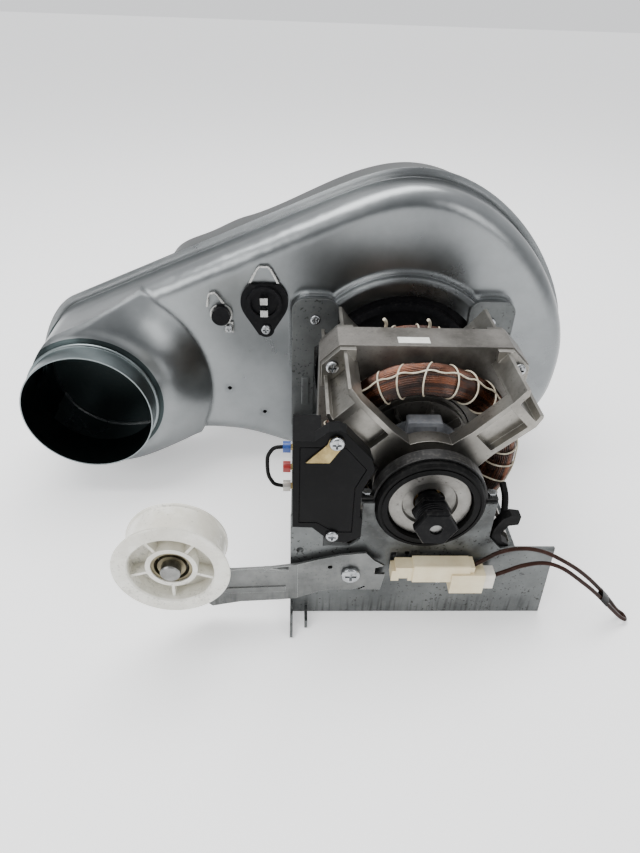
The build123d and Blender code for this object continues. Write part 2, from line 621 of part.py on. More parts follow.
def thermostat():
    """Round cycling thermostat with a pointed mounting flange."""
    x, z = -109.5, 159.5
    flange = Pos(x, z) * (Circle(18.4) & Rectangle(60, 28.8))
    flange += area((x - 15.6, z - 10), (x - 4.5, z - 28), (x + 4.5, z - 28), (x + 15.6, z - 10))
    flange += Pos(x + 1, z - 23) * Circle(6.6)
    body = slab(flange, 84, FACE_PLANE) + rod(x, z, 13, FACE_PLANE, FACE_PLANE + 9)
    body += tube(x, z, 13.6, 10.6, 81.5, 84)
    return body - rod(x + 1, 137, 2.2, 80, 90)


def thermostat_blades():
    blades = []
    for z in (165.5, 155.5):
        stem = box((-112.5, -106.5), (78.4, 84), (z - 0.8, z))
        blades.append(stem + box((-112.5, -106.5), (78.4, 79.2), (z - 5.4, z)))
    return group(*blades)


def thermistor():
    """Small round sensor in its spring clip."""
    x, z = -143.5, 148
    return rod(x, z, 7.2, 81, FACE_PLANE) + rod(x, z, 5.6, FACE_PLANE, FACE_PLANE + 14)


def thermistor_clip():
    """Wire-edged spring clip that holds the sensor down."""
    x, z = -143.5, 148
    band = tube(x, z, 8.8, 7.4, 86, 87.4) - box((x - 3, x + 3), (80, 90), (z + 2, z + 12))
    tab = box((-141.2, -134.4), (86, 87.4), (132.5, 141.8)) - rod(x, z, 8.1, 80, 90)
    return band + tab - rod(-138, 136.4, 2, 80, 90)


def sensor_loops():
    """Two D-shaped straps lanced out of the housing above the sensors."""
    straps = []
    for x, z, w, h, tilt in ((-109.5, 175.2, 11.8, 13.5, 0), (-147.5, 156.5, 7.5, 10.5, 12)):
        outer = area((-w, 0), (-w * 0.52, h * 0.8), (-w * 0.3, h), (w * 0.3, h), (w * 0.52, h * 0.8), (w, 0))
        hole = area((-w + 2, -0.1), (-w * 0.42, h * 0.72), (-w * 0.24, h - 1.3), (w * 0.24, h - 1.3),
                    (w * 0.42, h * 0.72), (w - 2, -0.1))
        strip = Pos(x, z) * Rot(0, 0, tilt) * (outer - hole)
        straps.append(slab(strip, FACE_PLANE - 3.5, FACE_PLANE))
    return group(*straps)


def sensor_screws():
    first = screw(-108.5, 137, 84, 4.0, 2.4, 1.4, 9)
    second = screw(-138, 136.4, 86, 3.4, 2.2, 1.4, 7)
    return group(first, second)


def frame_screws():
    """Screws that fix the ears to the housing, and the small one under the connector."""
    screws = [screw(x, 150, EAR_PLANE, 4.0, 2.4, 1.9, 8) for x in (-70, 67)]
    screws.append(screw(13.7, 33.5, PLATE_FRONT, 2.3, 1.8, 1.2, 6))
    return group(*screws)


# ---- idler -------------------------------------------------------------------------------
def idler_arm():
    """Cranked steel lever: hook tail, pivot, long arm and a raised end for the axle."""
    right = slab(area((-32, 57), (-38, 64), (-55, 61.5), (-68, 58), (-80.6, 53.5), (-84, 52.8), (-84, 19.6),
                      (-68, 27), (-60, 29), (-26, 29), (-24, 44), (-31, 44), (-31, 50), (-25, 52)),
                 ARM_FRONT + 0.2, ARM_BACK)
    left = area((-82, 53.2), (-100, 50), (-126, 48), (-138, 58), (-143, 82), (-150, 93), (-164, 93),
                (-171, 82), (-168, 55), (-158, 30), (-140, 12.5), (-121, 17), (-94, 19), (-82, 20.6))
    left = slab(left, ARM_FRONT - 0.2, ARM_BACK)
    arm = right + left
    rib = area((-90, 33), (-128, 31), (-134, 28), (-128, 26), (-90, 28))
    arm += slab(rib, ARM_FRONT - 0.9, ARM_FRONT)
    arm += box((-104, -88), (ARM_FRONT - 1.6, ARM_BACK), (48.5, 50))
    arm -= rod(PIVOT_X, PIVOT_Z, 4.0 + FIT, ARM_FRONT - 3, ARM_BACK + 1)
    arm -= rod(-60.7, 50.8, 1.7, ARM_FRONT - 3, ARM_BACK + 1)
    for k in range(5):
        angle = math.radians(-78 + k * 6)
        x, z = PIVOT_X + 16.5 * math.cos(angle), PIVOT_Z + 16.5 * math.sin(angle)
        arm -= rod(x, z, 0.9, ARM_FRONT - 3, ARM_BACK + 1)
    return arm


def pivot_bolt():
    """Shouldered screw that the arm turns on."""
    bolt = screw(PIVOT_X, PIVOT_Z, ARM_FRONT - GAP, 6.4, 3.0, 3.0, 9)
    return bolt + rod(PIVOT_X, PIVOT_Z, 4.0, ARM_FRONT - GAP, PLATE_FRONT)


def idler_axle():
    """Headed pin riveted in the arm."""
    pin = turned(IDLER_X, IDLER_Z, (0, IDLER_FRONT - 2), (AXLE_RADIUS - 0.7, IDLER_FRONT - 2),
                 (AXLE_RADIUS, IDLER_FRONT - 1.3), (AXLE_RADIUS, IDLER_BACK + 0.4), (9, IDLER_BACK + 0.4),
                 (9, ARM_FRONT - 0.2), (0, ARM_FRONT - 0.2))
    return pin


def idler_pulley():
    """Nylon pulley: wide barrel, large front flange, web with six ribs, bearing seat."""
    front, back = IDLER_FRONT, IDLER_BACK
    body = turned(IDLER_X, IDLER_Z, (25.6, front + 1), (26.4, front), (IDLER_FLANGE_RADIUS - 0.5, front),
                  (IDLER_FLANGE_RADIUS, front + 0.6), (IDLER_FLANGE_RADIUS - 0.6, front + 2.4),
                  (IDLER_BARREL_RADIUS + 0.6, front + 4.2), (IDLER_BARREL_RADIUS, front + 6),
                  (IDLER_BARREL_RADIUS, back - 2.2), (IDLER_BARREL_RADIUS + 1.0, back - 1.4),
                  (IDLER_BARREL_RADIUS + 1.0, back), (26.5, back), (26.0, front + 6))
    hub = tube(IDLER_X, IDLER_Z, 15.6, BEARING_RADIUS, front + 3, back - 4)
    web = tube(IDLER_X, IDLER_Z, 27, 14, front + 12, front + 14.5)
    body += hub + web
    for k in range(5):
        rib = Rot(0, k * 72 + 20, 0) * box((15, 26.6), (front + 3.5, front + 13), (-0.9, 0.9))
        body += Pos(IDLER_X, 0, IDLER_Z) * rib
    return body


def idler_bearing_outer():
    return turned(IDLER_X, IDLER_Z, (BEARING_RADIUS, IDLER_FRONT + 4), (BEARING_RADIUS, IDLER_FRONT + 13),
                  (10.6, IDLER_FRONT + 13), (10.6, IDLER_FRONT + 4))


def idler_bearing_inner():
    return tube(IDLER_X, IDLER_Z, 8.5, AXLE_RADIUS + FIT, IDLER_FRONT + 4, IDLER_FRONT + 13)


def idler_spring():
    """Tension spring behind the front plate, drawn as its coil body."""
    coil = Pos(2, -74, 48) * Rot(0, 90, 0) * (Cylinder(4.4, 40) - Cylinder(3.2, 60))
    return coil


# ---- connector and wires -----------------------------------------------------------------
def connector_housing():
    """Nylon socket housing clipped to the front plate."""
    body = box((-7, 30), (-95, -84.2), (45, 60))
    body = fillet(body.edges().filter_by(Axis.X), 1.2)
    body += box((18.5, 40.5), (-96, -84.2), (36, 53)) + box((26, 33), (-94, -84.2), (45, 58.5))
    neck = box((-21, -7), (-93.5, -84.2), (45.5, 57.5)) - box((-16, -10), (-94, -91.5), (44, 48.5))
    neck -= box((-22, -18.5), (-99, -80), (54.5, 58))
    clip = box((-4, 4), (-84.2, PLATE_FRONT), (48, 56)) + box((22, 30), (-84.2, PLATE_FRONT), (42, 50))
    return body + neck + clip


def connector_plug():
    plug = box((40.5, 47.5), (-94.5, -85), (38.5, 51.5))
    plug = fillet(plug.edges().filter_by(Axis.X), 1.0)
    return plug - box((44, 49), (-93, -91.6), (40, 50)) - box((44, 49), (-88, -86.6), (40, 50))


UPPER_WIRE = [(33.0, -89.2, 55.5), (40, -89, 61), (48, -88.5, 67.5), (62, -88.5, 71.5), (77, -88.5, 68.5),
              (92, -88.2, 59.5), (107, -87.6, 48.5), (122, -87, 34), (137, -86.5, 17),
              (145.0, -86.1, 6.2), (150.8, -86.1, 2.2), (150.9, -92.3, 2.3)]
LOWER_WIRE = [(150.9, -92.3, 2.3), (145.0, -92.2, 6.2), (135.5, -91.9, 16), (120.5, -91.3, 31.5), (105, -91.2, 45),
              (92, -91.0, 55.5), (79, -90.8, 60.5), (65, -90.4, 57), (55, -90.1, 50.5), (47.5, -90.0, 46.5)]


def corner_radii(points):
    """Largest even bend at each corner of a route."""
    radii = []
    for before, here, after in zip(points, points[1:], points[2:]):
        first = Vector(*here) - Vector(*before)
        second = Vector(*after) - Vector(*here)
        half_turn = math.radians(first.get_angle(second)) / 2
        radii.append(0.45 * min(first.length, second.length) / math.tan(half_turn))
    return radii


def thermal_wire():
    """One wire out of the connector, round its far fold and back into the plug."""
    route = UPPER_WIRE + LOWER_WIRE[1:]
    radii = corner_radii(route)
    print("wire bend radii, mm:", [round(r, 1) for r in radii])
    path = FilletPolyline(*route, radius=radii)
    start = Plane(origin=path @ 0, z_dir=path % 0)
    wire = sweep(start * Circle(WIRE_RADIUS), path=path)
    print("wire length, mm:", round(path.length, 1), "volume error:",
          round(wire.volume / (path.length * math.pi * WIRE_RADIUS ** 2) - 1, 4))
    return wire


def held_wire(route, radius):
    """Lead held at both ends by the object."""
    path = FilletPolyline(*route, radius=corner_radii(route))
    start = Plane(origin=path @ 0, z_dir=path % 0)
    return sweep(start * Circle(radius), path=path)


def cable_clip():
    """Black clip on the right corner of the front plate."""
    hook = area((45, 60), (57, 60), (57, 65), (52, 68), (50, 75), (54, 82), (60, 83), (60.5, 90),
                (54, 91), (48.5, 87), (45, 79), (44, 68))
    return slab(hook, -79.6, -73)


def main():
    os.makedirs("parts", exist_ok=True)
    nodes = {
        "base_bracket": base_bracket(),
        "rear_plate": rear_plate(),
        "front_cushion_ring": cradle(RING_FRONT, RING_BACK, PLATE_FRONT),
        "rear_cushion_ring": cradle(REAR_RING_FRONT, REAR_RING_BACK, EAR_PLANE),
        "front_strap": strap(STRAP_FRONT, STRAP_BACK),
        "rear_strap": strap(60.5, 68.5),
        "strap_bolts": strap_bolts(),
        "stator_core": stator_core(),
        "front_winding": winding(),
        "rear_winding": mirrored_in_stack(winding()),
        "front_lacing": winding_lacing(),
        "rear_lacing": mirrored_in_stack(winding_lacing()),
        "slot_insulators": slot_insulators(),
        "front_end_bell": front_end_bell(),
        "rear_end_bell": rear_end_bell(),
        "front_bearing": bearing(-68, -50),
        "rear_bearing": bearing(46, 62),
        "through_bolts": through_bolts(),
        "front_hub_disc": hub_disc(),
        "motor_shaft": motor_shaft(),
        "rotor_core": rotor_core(),
        "governor_plate": governor_plate(),
        "governor_collar": governor_collar(),
        "drive_pulley": drive_pulley(),
        "switch_case": switch_case(),
        "switch_tab": switch_tab(),
        "switch_screws": switch_screws(),
        "switch_lever": switch_lever(),
        "switch_blades": switch_blades(),
        "blue_crimp": crimp(142),
        "red_crimp": crimp(127),
        "bare_crimp": crimp(112),
        "switch_wire": held_wire([(-91.7, -76, 142), (-97, -76, 141.5), (-100.8, -76.4, 136), (-101.2, -76, 128),
                                  (-100.6, -76.4, 120), (-97, -76, 113), (-91.7, -76, 112)], 1.2),
        "motor_lead": held_wire([(60, -39.2, 84), (60.5, -48, 80), (58.5, -58, 72), (54, -66, 62),
                                 (48, -71, 52), (42, -73.5, 42)], 2.4),
        "cable_clip": cable_clip(),
        "housing_front": housing_front(),
        "housing_rear": housing_rear(),
        "outlet_collar": outlet_collar(),
        "inlet_seal": inlet_seal(),
        "shaft_seal_plate": shaft_seal_plate(),
        "blower_wheel": blower_wheel(),
        "wheel_clamp": wheel_clamp(),
        "thermostat": thermostat(),
        "thermostat_blades": thermostat_blades(),
        "thermistor": thermistor(),
        "thermistor_clip": thermistor_clip(),
        "sensor_loops": sensor_loops(),
        "sensor_screws": sensor_screws(),
        "frame_screws": frame_screws(),
        "idler_arm": idler_arm(),
        "pivot_bolt": pivot_bolt(),
        "idler_axle": idler_axle(),
        "idler_pulley": idler_pulley(),
        "idler_bearing_outer": idler_bearing_outer(),
        "idler_bearing_inner": idler_bearing_inner(),
        "idler_spring": idler_spring(),
        "connector_housing": connector_housing(),
        "connector_plug": connector_plug(),
        "thermal_wire": thermal_wire(),
    }
    for name, shape in nodes.items():
        export_step(shape, f"parts/{name}.step")
    print(len(nodes), "nodes")


if __name__ == "__main__":
    main()
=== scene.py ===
import logging
import math
import random
from dataclasses import dataclass, field
from enum import Enum

import bmesh
import bpy
from mathutils import Matrix, Vector, noise
from mathutils.bvhtree import BVHTree


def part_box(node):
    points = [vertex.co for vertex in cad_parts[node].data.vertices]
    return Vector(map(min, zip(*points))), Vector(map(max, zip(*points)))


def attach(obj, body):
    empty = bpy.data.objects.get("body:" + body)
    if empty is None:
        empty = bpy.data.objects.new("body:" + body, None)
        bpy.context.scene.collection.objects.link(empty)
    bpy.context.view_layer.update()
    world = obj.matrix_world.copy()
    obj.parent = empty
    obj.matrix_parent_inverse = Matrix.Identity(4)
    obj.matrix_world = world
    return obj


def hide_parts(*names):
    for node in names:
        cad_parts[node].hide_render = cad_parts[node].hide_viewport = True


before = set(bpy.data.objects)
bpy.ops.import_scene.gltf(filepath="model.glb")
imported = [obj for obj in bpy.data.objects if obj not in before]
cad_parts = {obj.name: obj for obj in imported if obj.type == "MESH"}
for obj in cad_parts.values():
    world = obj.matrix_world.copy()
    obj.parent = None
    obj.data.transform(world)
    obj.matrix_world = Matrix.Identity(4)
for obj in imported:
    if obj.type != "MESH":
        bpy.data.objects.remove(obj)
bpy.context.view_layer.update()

log = logging.getLogger("blower")
logging.basicConfig(level=logging.INFO, format="%(message)s")

Colour = tuple[float, float, float]
MM = 0.001


class Grain(Enum):
    """Small-scale surface character of a finish."""

    SPANGLE = "spangle"      # zinc crystals on galvanised sheet
    CAST = "cast"            # die-cast skin
    LAYERS = "layers"        # edges of stacked laminations
    MOULDED = "moulded"      # fine texture of moulded plastic or rubber
    STRANDS = "strands"      # wound wire, coloured strand by strand
    WOVEN = "woven"          # twisted cord, felt or paper
    DIMPLES = "dimples"      # rows of small pressed dots


@dataclass(frozen=True)
class Finish:
    """One surface finish.

    Args:
        name: Material name.
        light: Main colour.
        dark: Colour of its darker patches.
        slot: Material slot of the record; not used.
        metallic: 0 for plastic, 1 for metal.
        roughness: Mean roughness.
        grain: Small-scale character.
        scale: Patches per metre.
        bump: Height of the small-scale relief, in metres.
        dust: How much pale dust lies on it.
        wear: How bright its edges are worn.
        coat: Weight of a clear gloss on top.
        specks: How many small dark spots of dirt it carries.
        shine: Specular level, lower for dull black mouldings.
        rounding: Radius over which its creases look rounded, in metres.
    """

    name: str
    light: Colour
    dark: Colour
    slot: str
    metallic: float = 0.0
    roughness: float = 0.45
    grain: Grain = Grain.MOULDED
    scale: float = 40.0
    bump: float = 0.00005
    dust: float = 0.1
    wear: float = 0.0
    coat: float = 0.0
    specks: float = 0.0
    shine: float = 0.5
    rounding: float = 0.0005


BRACKET = Finish("bracket_zinc", (0.155, 0.163, 0.162), (0.085, 0.090, 0.090), "bracket_steel", 0.8, 0.40,
                 Grain.SPANGLE, 22, 0.00003, 0.10, 0.45, specks=0.8)
HOUSING = Finish("housing_zinc", (0.275, 0.288, 0.292), (0.185, 0.195, 0.20), "housing_steel", 1.0, 0.28,
                 Grain.SPANGLE, 9, 0.00001, 0.02, 0.35, rounding=0.006)
# painted shade: the rear pan takes the housing's steel at about half the front shell's brightness
SHADED_REAR_PAN = Finish("rear_pan_shaded_zinc", (0.125, 0.13, 0.13), (0.08, 0.084, 0.084), "housing_steel", 0.9, 0.42,
                  Grain.SPANGLE, 12, 0.00002, 0.04, 0.35)
COLLAR = Finish("collar_zinc", (0.27, 0.30, 0.305), (0.17, 0.20, 0.205), "collar_steel", 1.0, 0.33,
                Grain.SPANGLE, 12, 0.00001, 0.03, 0.5)
CUSHION = Finish("cushion_rubber", (0.004, 0.004, 0.004), (0.002, 0.002, 0.002), "cushion_rubber",
                 0, 0.42, Grain.MOULDED, 60, 0.00006, 0.02, shine=0.08)
STRAP = Finish("strap_band", (0.016, 0.0155, 0.015), (0.006, 0.006, 0.006), "strap_steel", 0.4, 0.42,
               Grain.DIMPLES, 80, 0.0002, 0.10, 0.5)
ZINC = Finish("screw_zinc", (0.50, 0.51, 0.52), (0.25, 0.26, 0.27), "zinc_screws", 1.0, 0.25,
              Grain.CAST, 150, 0.00003, 0.08, 0.5)
CORE = Finish("core_edges", (0.20, 0.19, 0.175), (0.085, 0.080, 0.072), "core_laminations", 0.8, 0.42,
              Grain.LAYERS, 25, 0.00005, 0.12, 0.4, specks=0.3)
COPPER = Finish("varnished_copper", (0.21, 0.062, 0.020), (0.014, 0.006, 0.004), "copper_winding",
                0.85, 0.26, Grain.STRANDS, 60, 0.00004, 0.03, 0.0, 0.6)
LACING = Finish("lacing_cord", (0.74, 0.68, 0.54), (0.48, 0.41, 0.30), "lacing_cord", 0, 0.8,
                Grain.WOVEN, 200, 0.00008, 0.03)
PAPER = Finish("slot_paper", (0.74, 0.72, 0.62), (0.50, 0.47, 0.39), "slot_paper", 0, 0.7,
               Grain.WOVEN, 90, 0.00003, 0.1)
CASTING = Finish("bell_casting", (0.33, 0.315, 0.285), (0.165, 0.158, 0.142), "bell_casting", 0.9, 0.30,
                 Grain.CAST, 35, 0.00006, 0.08, 0.6, specks=0.35)
CAP = Finish("hub_cap", (0.27, 0.262, 0.245), (0.165, 0.158, 0.145), "hub_cap_steel", 0.9, 0.36,
             Grain.CAST, 60, 0.00003, 0.10, 0.4, specks=0.5)
BRONZE = Finish("bearing_bronze", (0.40, 0.28, 0.14), (0.22, 0.15, 0.07), "bearing_bronze", 1.0, 0.35,
                Grain.CAST, 90, 0.00003)
SHAFT = Finish("ground_shaft", (0.30, 0.30, 0.29), (0.15, 0.15, 0.145), "shaft_steel", 1.0, 0.30,
               Grain.CAST, 70, 0.00001, 0.1, 0.2)
GOVERNOR = Finish("governor_grey", (0.27, 0.28, 0.30), (0.15, 0.155, 0.17), "governor_plastic", 0, 0.42,
                  Grain.MOULDED, 60, 0.00005, 0.25)
PULLEY = Finish("blackened_pulley", (0.007, 0.007, 0.0075), (0.0035, 0.0035, 0.004), "pulley_black",
                0.5, 0.30, Grain.CAST, 90, 0.00003, 0.03, 0.30, shine=0.08)
SWITCH = Finish("switch_moulding", (0.0035, 0.0035, 0.0038), (0.002, 0.002, 0.0022), "switch_black", 0,
                0.30, Grain.MOULDED, 50, 0.00004, 0.008, 0.05, shine=0.08)
BRASS = Finish("brass_tab", (0.42, 0.33, 0.15), (0.22, 0.16, 0.07), "brass_tab", 0.9, 0.38,
               Grain.CAST, 120, 0.00003, 0.08, 0.3)
BLUE = Finish("blue_sleeve", (0.04, 0.12, 0.45), (0.02, 0.06, 0.25), "blue_sleeve", 0, 0.35)
RED = Finish("red_sleeve", (0.50, 0.03, 0.02), (0.25, 0.015, 0.015), "red_sleeve", 0, 0.35)
CLEAR = Finish("tinned_sleeve", (0.50, 0.48, 0.45), (0.30, 0.28, 0.25), "clear_sleeve", 0.4, 0.35)
BLACK_WIRE = Finish("black_wire", (0.009, 0.009, 0.009), (0.005, 0.005, 0.005), "black_wire", 0, 0.32,
                    dust=0.03, shine=0.08)
SEAL = Finish("black_seal", (0.011, 0.011, 0.012), (0.006, 0.006, 0.007), "seal_black", 0, 0.36,
              Grain.MOULDED, 60, 0.00004, 0.04, shine=0.08)
FELT = Finish("inlet_felt", (0.30, 0.28, 0.25), (0.18, 0.17, 0.15), "inlet_felt", 0, 0.95,
              Grain.WOVEN, 300, 0.0003, 0.3)
WHEEL = Finish("wheel_moulding", (0.025, 0.025, 0.026), (0.013, 0.013, 0.013), "wheel_plastic", 0, 0.45,
               Grain.MOULDED, 50, 0.00005, 0.25, shine=0.08)
CLAMP = Finish("clamp_zinc", (0.40, 0.40, 0.40), (0.22, 0.22, 0.22), "clamp_steel", 1.0, 0.33,
               Grain.CAST, 100)
TINNED = Finish("tinned_blade", (0.60, 0.60, 0.58), (0.33, 0.33, 0.32), "silver_blades", 1.0, 0.26,
                Grain.CAST, 120, 0.00002, 0.05, 0.3)
ARM = Finish("arm_zinc", (0.215, 0.22, 0.215), (0.115, 0.119, 0.117), "arm_steel", 0.9, 0.36,
             Grain.SPANGLE, 30, 0.00004, 0.10, 0.8, specks=0.25)
NYLON = Finish("idler_nylon", (0.86, 0.85, 0.78), (0.64, 0.615, 0.53), "idler_nylon", 0, 0.26,
               Grain.MOULDED, 35, 0.00003, 0.0, 0.0, 0.3, specks=0.25)
RING = Finish("bearing_ring", (0.24, 0.21, 0.13), (0.09, 0.075, 0.045), "bearing_ring", 0.8, 0.38,
              Grain.CAST, 120)
IVORY = Finish("ivory_nylon", (0.82, 0.74, 0.52), (0.68, 0.57, 0.36), "connector_ivory", 0, 0.34,
               Grain.MOULDED, 40, 0.00003, 0.05)
PLUG = Finish("white_nylon", (0.80, 0.77, 0.69), (0.62, 0.58, 0.50), "plug_white", 0, 0.36,
              Grain.MOULDED, 60, 0.00003, 0.05)
BROWN_WIRE = Finish("brown_wire", (0.034, 0.014, 0.010), (0.014, 0.007, 0.005), "wire_brown", 0, 0.32,
                    dust=0.03, shine=0.08)
LABEL = Finish("blank_label", (0.82, 0.82, 0.79), (0.66, 0.65, 0.60), "lacing_cord", 0, 0.55,
               Grain.WOVEN, 120, 0.00001, 0.1)


# ---- node groups -------------------------------------------------------------------------
class Effects:
    """Shader node groups shared by the finishes."""

    def __init__(self) -> None:
        self.patches = self._patches()
        self.dusting = self._dusting()
        self.worn_edges = self._worn_edges()
        self.specks = self._specks()
        self.mouth_shade_group = self._make_mouth_shade_group()
        self.axis_shade_group = self._make_axis_shade_group()

    @staticmethod
    def _group(name: str, inputs: list[tuple[str, str]], outputs: list[tuple[str, str]]):
        """Empty node group with named sockets.

        Args:
            name: Group name.
            inputs: Pairs of socket name and type suffix.
            outputs: The same for its outputs.

        Returns:
            The tree, its input node and its output node.
        """
        tree = bpy.data.node_groups.new(name, "ShaderNodeTree")
        for label, kind in inputs:
            tree.interface.new_socket(label, in_out="INPUT", socket_type="NodeSocket" + kind)
        for label, kind in outputs:
            tree.interface.new_socket(label, in_out="OUTPUT", socket_type="NodeSocket" + kind)
        return tree, tree.nodes.new("NodeGroupInput"), tree.nodes.new("NodeGroupOutput")

    @staticmethod
    def _maths(tree, operation: str, value=None, kind: str = "ShaderNodeMath"):
        """Math node.

        Args:
            tree: Node tree.
            operation: Its operation.
            value: Its second value, if that is fixed.
            kind: Type of the node.

        Returns:
            The node.
        """
        node = tree.nodes.new(kind)
        node.operation = operation
        if value is not None:
            node.inputs[1].default_value = value
        return node

    def _vector(self, tree, operation: str, value=None):
        """Vector math node, with its second vector if that is fixed."""
        return self._maths(tree, operation, value, "ShaderNodeVectorMath")

    @staticmethod
    def _range(tree, low: float, high: float, result_low: float = 0.0, result_high: float = 1.0):
        """Map-range node.

        Args:
            tree: Node tree.
            low: Value that gives result_low.
            high: Value that gives result_high.
            result_low: Result at low.
            result_high: Result at high.

        Returns:
            The node.
        """
        node = tree.nodes.new("ShaderNodeMapRange")
        for label, value in (("From Min", low), ("From Max", high), ("To Min", result_low),
                             ("To Max", result_high)):
            node.inputs[label].default_value = value
        return node

    @staticmethod
    def _noise(tree, scale: float, detail: float):
        """Noise texture node.

        Args:
            tree: Node tree.
            scale: Its scale, per metre.
            detail: Its detail.

        Returns:
            The node.
        """
        node = tree.nodes.new("ShaderNodeTexNoise")
        node.inputs["Scale"].default_value = scale
        node.inputs["Detail"].default_value = detail
        return node

    @staticmethod
    def _tint(tree, source, result, mask, second: Colour | str) -> None:
        """Blend the group's colour into a second one.

        Args:
            tree: Node tree.
            source: Its input node.
            result: Its output node.
            mask: Socket with the share of the second colour.
            second: The second colour, or the input that holds it.
        """
        blend = tree.nodes.new("ShaderNodeMix")
        blend.data_type = "RGBA"
        if isinstance(second, str):
            tree.links.new(source.outputs[second], blend.inputs["B"])
        else:
            blend.inputs["B"].default_value = (*second, 1)
        tree.links.new(mask, blend.inputs["Factor"])
        tree.links.new(source.outputs["Color"], blend.inputs["A"])
        tree.links.new(blend.outputs["Result"], result.inputs["Color"])

    def _from_axis(self, tree, source):
        """Nodes that give a point's offset from an axis along Y.

        Args:
            tree: Node tree.
            source: Group input with Vector and Centre.

        Returns:
            The node with the offset, and the node with its length.
        """
        away = self._vector(tree, "SUBTRACT")
        flat = self._vector(tree, "MULTIPLY", (1, 0, 1))
        size = self._vector(tree, "LENGTH")
        tree.links.new(source.outputs["Vector"], away.inputs[0])
        tree.links.new(source.outputs["Centre"], away.inputs[1])
        tree.links.new(away.outputs["Vector"], flat.inputs[0])
        tree.links.new(flat.outputs["Vector"], size.inputs[0])
        return flat, size

    def _patches(self):
        """Cloudy mix of two colours, with a fine grain for roughness and height."""
        tree, source, result = self._group(
            "Patches",
            [("Vector", "Vector"), ("Scale", "Float"), ("Light", "Color"), ("Dark", "Color"),
             ("Roughness", "Float")],
            [("Color", "Color"), ("Roughness", "Float"), ("Fine", "Float")])
        link = tree.links.new
        cloud = self._noise(tree, 1, 6)
        cloud.inputs["Roughness"].default_value = 0.62
        fine = self._noise(tree, 1, 3)
        bigger = self._maths(tree, "MULTIPLY", 28)
        spread = self._range(tree, 0.36, 0.66)
        blend = tree.nodes.new("ShaderNodeMix")
        blend.data_type = "RGBA"
        shift = self._range(tree, 0, 1, -0.07, 0.09)
        total = self._maths(tree, "ADD")
        link(source.outputs["Vector"], cloud.inputs["Vector"])
        link(source.outputs["Vector"], fine.inputs["Vector"])
        link(source.outputs["Scale"], cloud.inputs["Scale"])
        link(source.outputs["Scale"], bigger.inputs[0])
        link(bigger.outputs[0], fine.inputs["Scale"])
        link(cloud.outputs["Fac"], spread.inputs["Value"])
        link(spread.outputs["Result"], blend.inputs["Factor"])
        link(source.outputs["Dark"], blend.inputs["A"])
        link(source.outputs["Light"], blend.inputs["B"])
        link(cloud.outputs["Fac"], shift.inputs["Value"])
        link(source.outputs["Roughness"], total.inputs[0])
        link(shift.outputs["Result"], total.inputs[1])
        link(blend.outputs["Result"], result.inputs["Color"])
        link(total.outputs[0], result.inputs["Roughness"])
        link(fine.outputs["Fac"], result.inputs["Fine"])
        return tree

    def _dusting(self):
        """Pale dust that gathers in specks, most on faces that look up."""
        tree, source, result = self._group(
            "Dusting", [("Vector", "Vector"), ("Color", "Color"), ("Amount", "Float")],
            [("Color", "Color")])
        link = tree.links.new
        speck = self._noise(tree, 420, 4)
        cut = self._range(tree, 0.52, 0.72)
        shape = tree.nodes.new("ShaderNodeNewGeometry")
        split = tree.nodes.new("ShaderNodeSeparateXYZ")
        upward = self._range(tree, -0.2, 1, 0.25, 1)
        both = self._maths(tree, "MULTIPLY")
        share = self._maths(tree, "MULTIPLY")
        link(source.outputs["Vector"], speck.inputs["Vector"])
        link(speck.outputs["Fac"], cut.inputs["Value"])
        link(shape.outputs["Normal"], split.inputs["Vector"])
        link(split.outputs["Z"], upward.inputs["Value"])
        link(cut.outputs["Result"], both.inputs[0])
        link(upward.outputs["Result"], both.inputs[1])
        link(both.outputs[0], share.inputs[0])
        link(source.outputs["Amount"], share.inputs[1])
        self._tint(tree, source, result, share.outputs[0], (0.42, 0.40, 0.36))
        return tree

    def _worn_edges(self):
        """Edges rubbed brighter, from the turn of a small bevel."""
        tree, source, result = self._group(
            "WornEdges", [("Color", "Color"), ("Bright", "Color"), ("Amount", "Float")],
            [("Color", "Color")])
        link = tree.links.new
        rounding = tree.nodes.new("ShaderNodeBevel")
        rounding.samples = 4
        rounding.inputs["Radius"].default_value = 0.0005
        shape = tree.nodes.new("ShaderNodeNewGeometry")
        turn = self._vector(tree, "DOT_PRODUCT")
        mask = self._range(tree, 0.99, 0.80)
        share = self._maths(tree, "MULTIPLY")
        link(rounding.outputs["Normal"], turn.inputs[0])
        link(shape.outputs["Normal"], turn.inputs[1])
        link(turn.outputs["Value"], mask.inputs["Value"])
        link(mask.outputs["Result"], share.inputs[0])
        link(source.outputs["Amount"], share.inputs[1])
        self._tint(tree, source, result, share.outputs[0], "Bright")
        return tree

    def _specks(self):
        """Small dark spots of dirt in clusters."""
        tree, source, result = self._group(
            "Specks", [("Vector", "Vector"), ("Color", "Color"), ("Amount", "Float")],
            [("Color", "Color")])
        link = tree.links.new
        spot = self._noise(tree, 520, 3)
        cluster = self._noise(tree, 26, 2)
        gather = self._range(tree, 0.45, 0.75, 0, 0.13)
        total = self._maths(tree, "ADD")
        cut = self._range(tree, 0.66, 0.72)
        share = self._maths(tree, "MULTIPLY")
        link(source.outputs["Vector"], spot.inputs["Vector"])
        link(source.outputs["Vector"], cluster.inputs["Vector"])
        link(cluster.outputs["Fac"], gather.inputs["Value"])
        link(spot.outputs["Fac"], total.inputs[0])
        link(gather.outputs["Result"], total.inputs[1])
        link(total.outputs[0], cut.inputs["Value"])
        link(cut.outputs["Result"], share.inputs[0])
        link(source.outputs["Amount"], share.inputs[1])
        self._tint(tree, source, result, share.outputs[0], (0.020, 0.019, 0.017))
        return tree

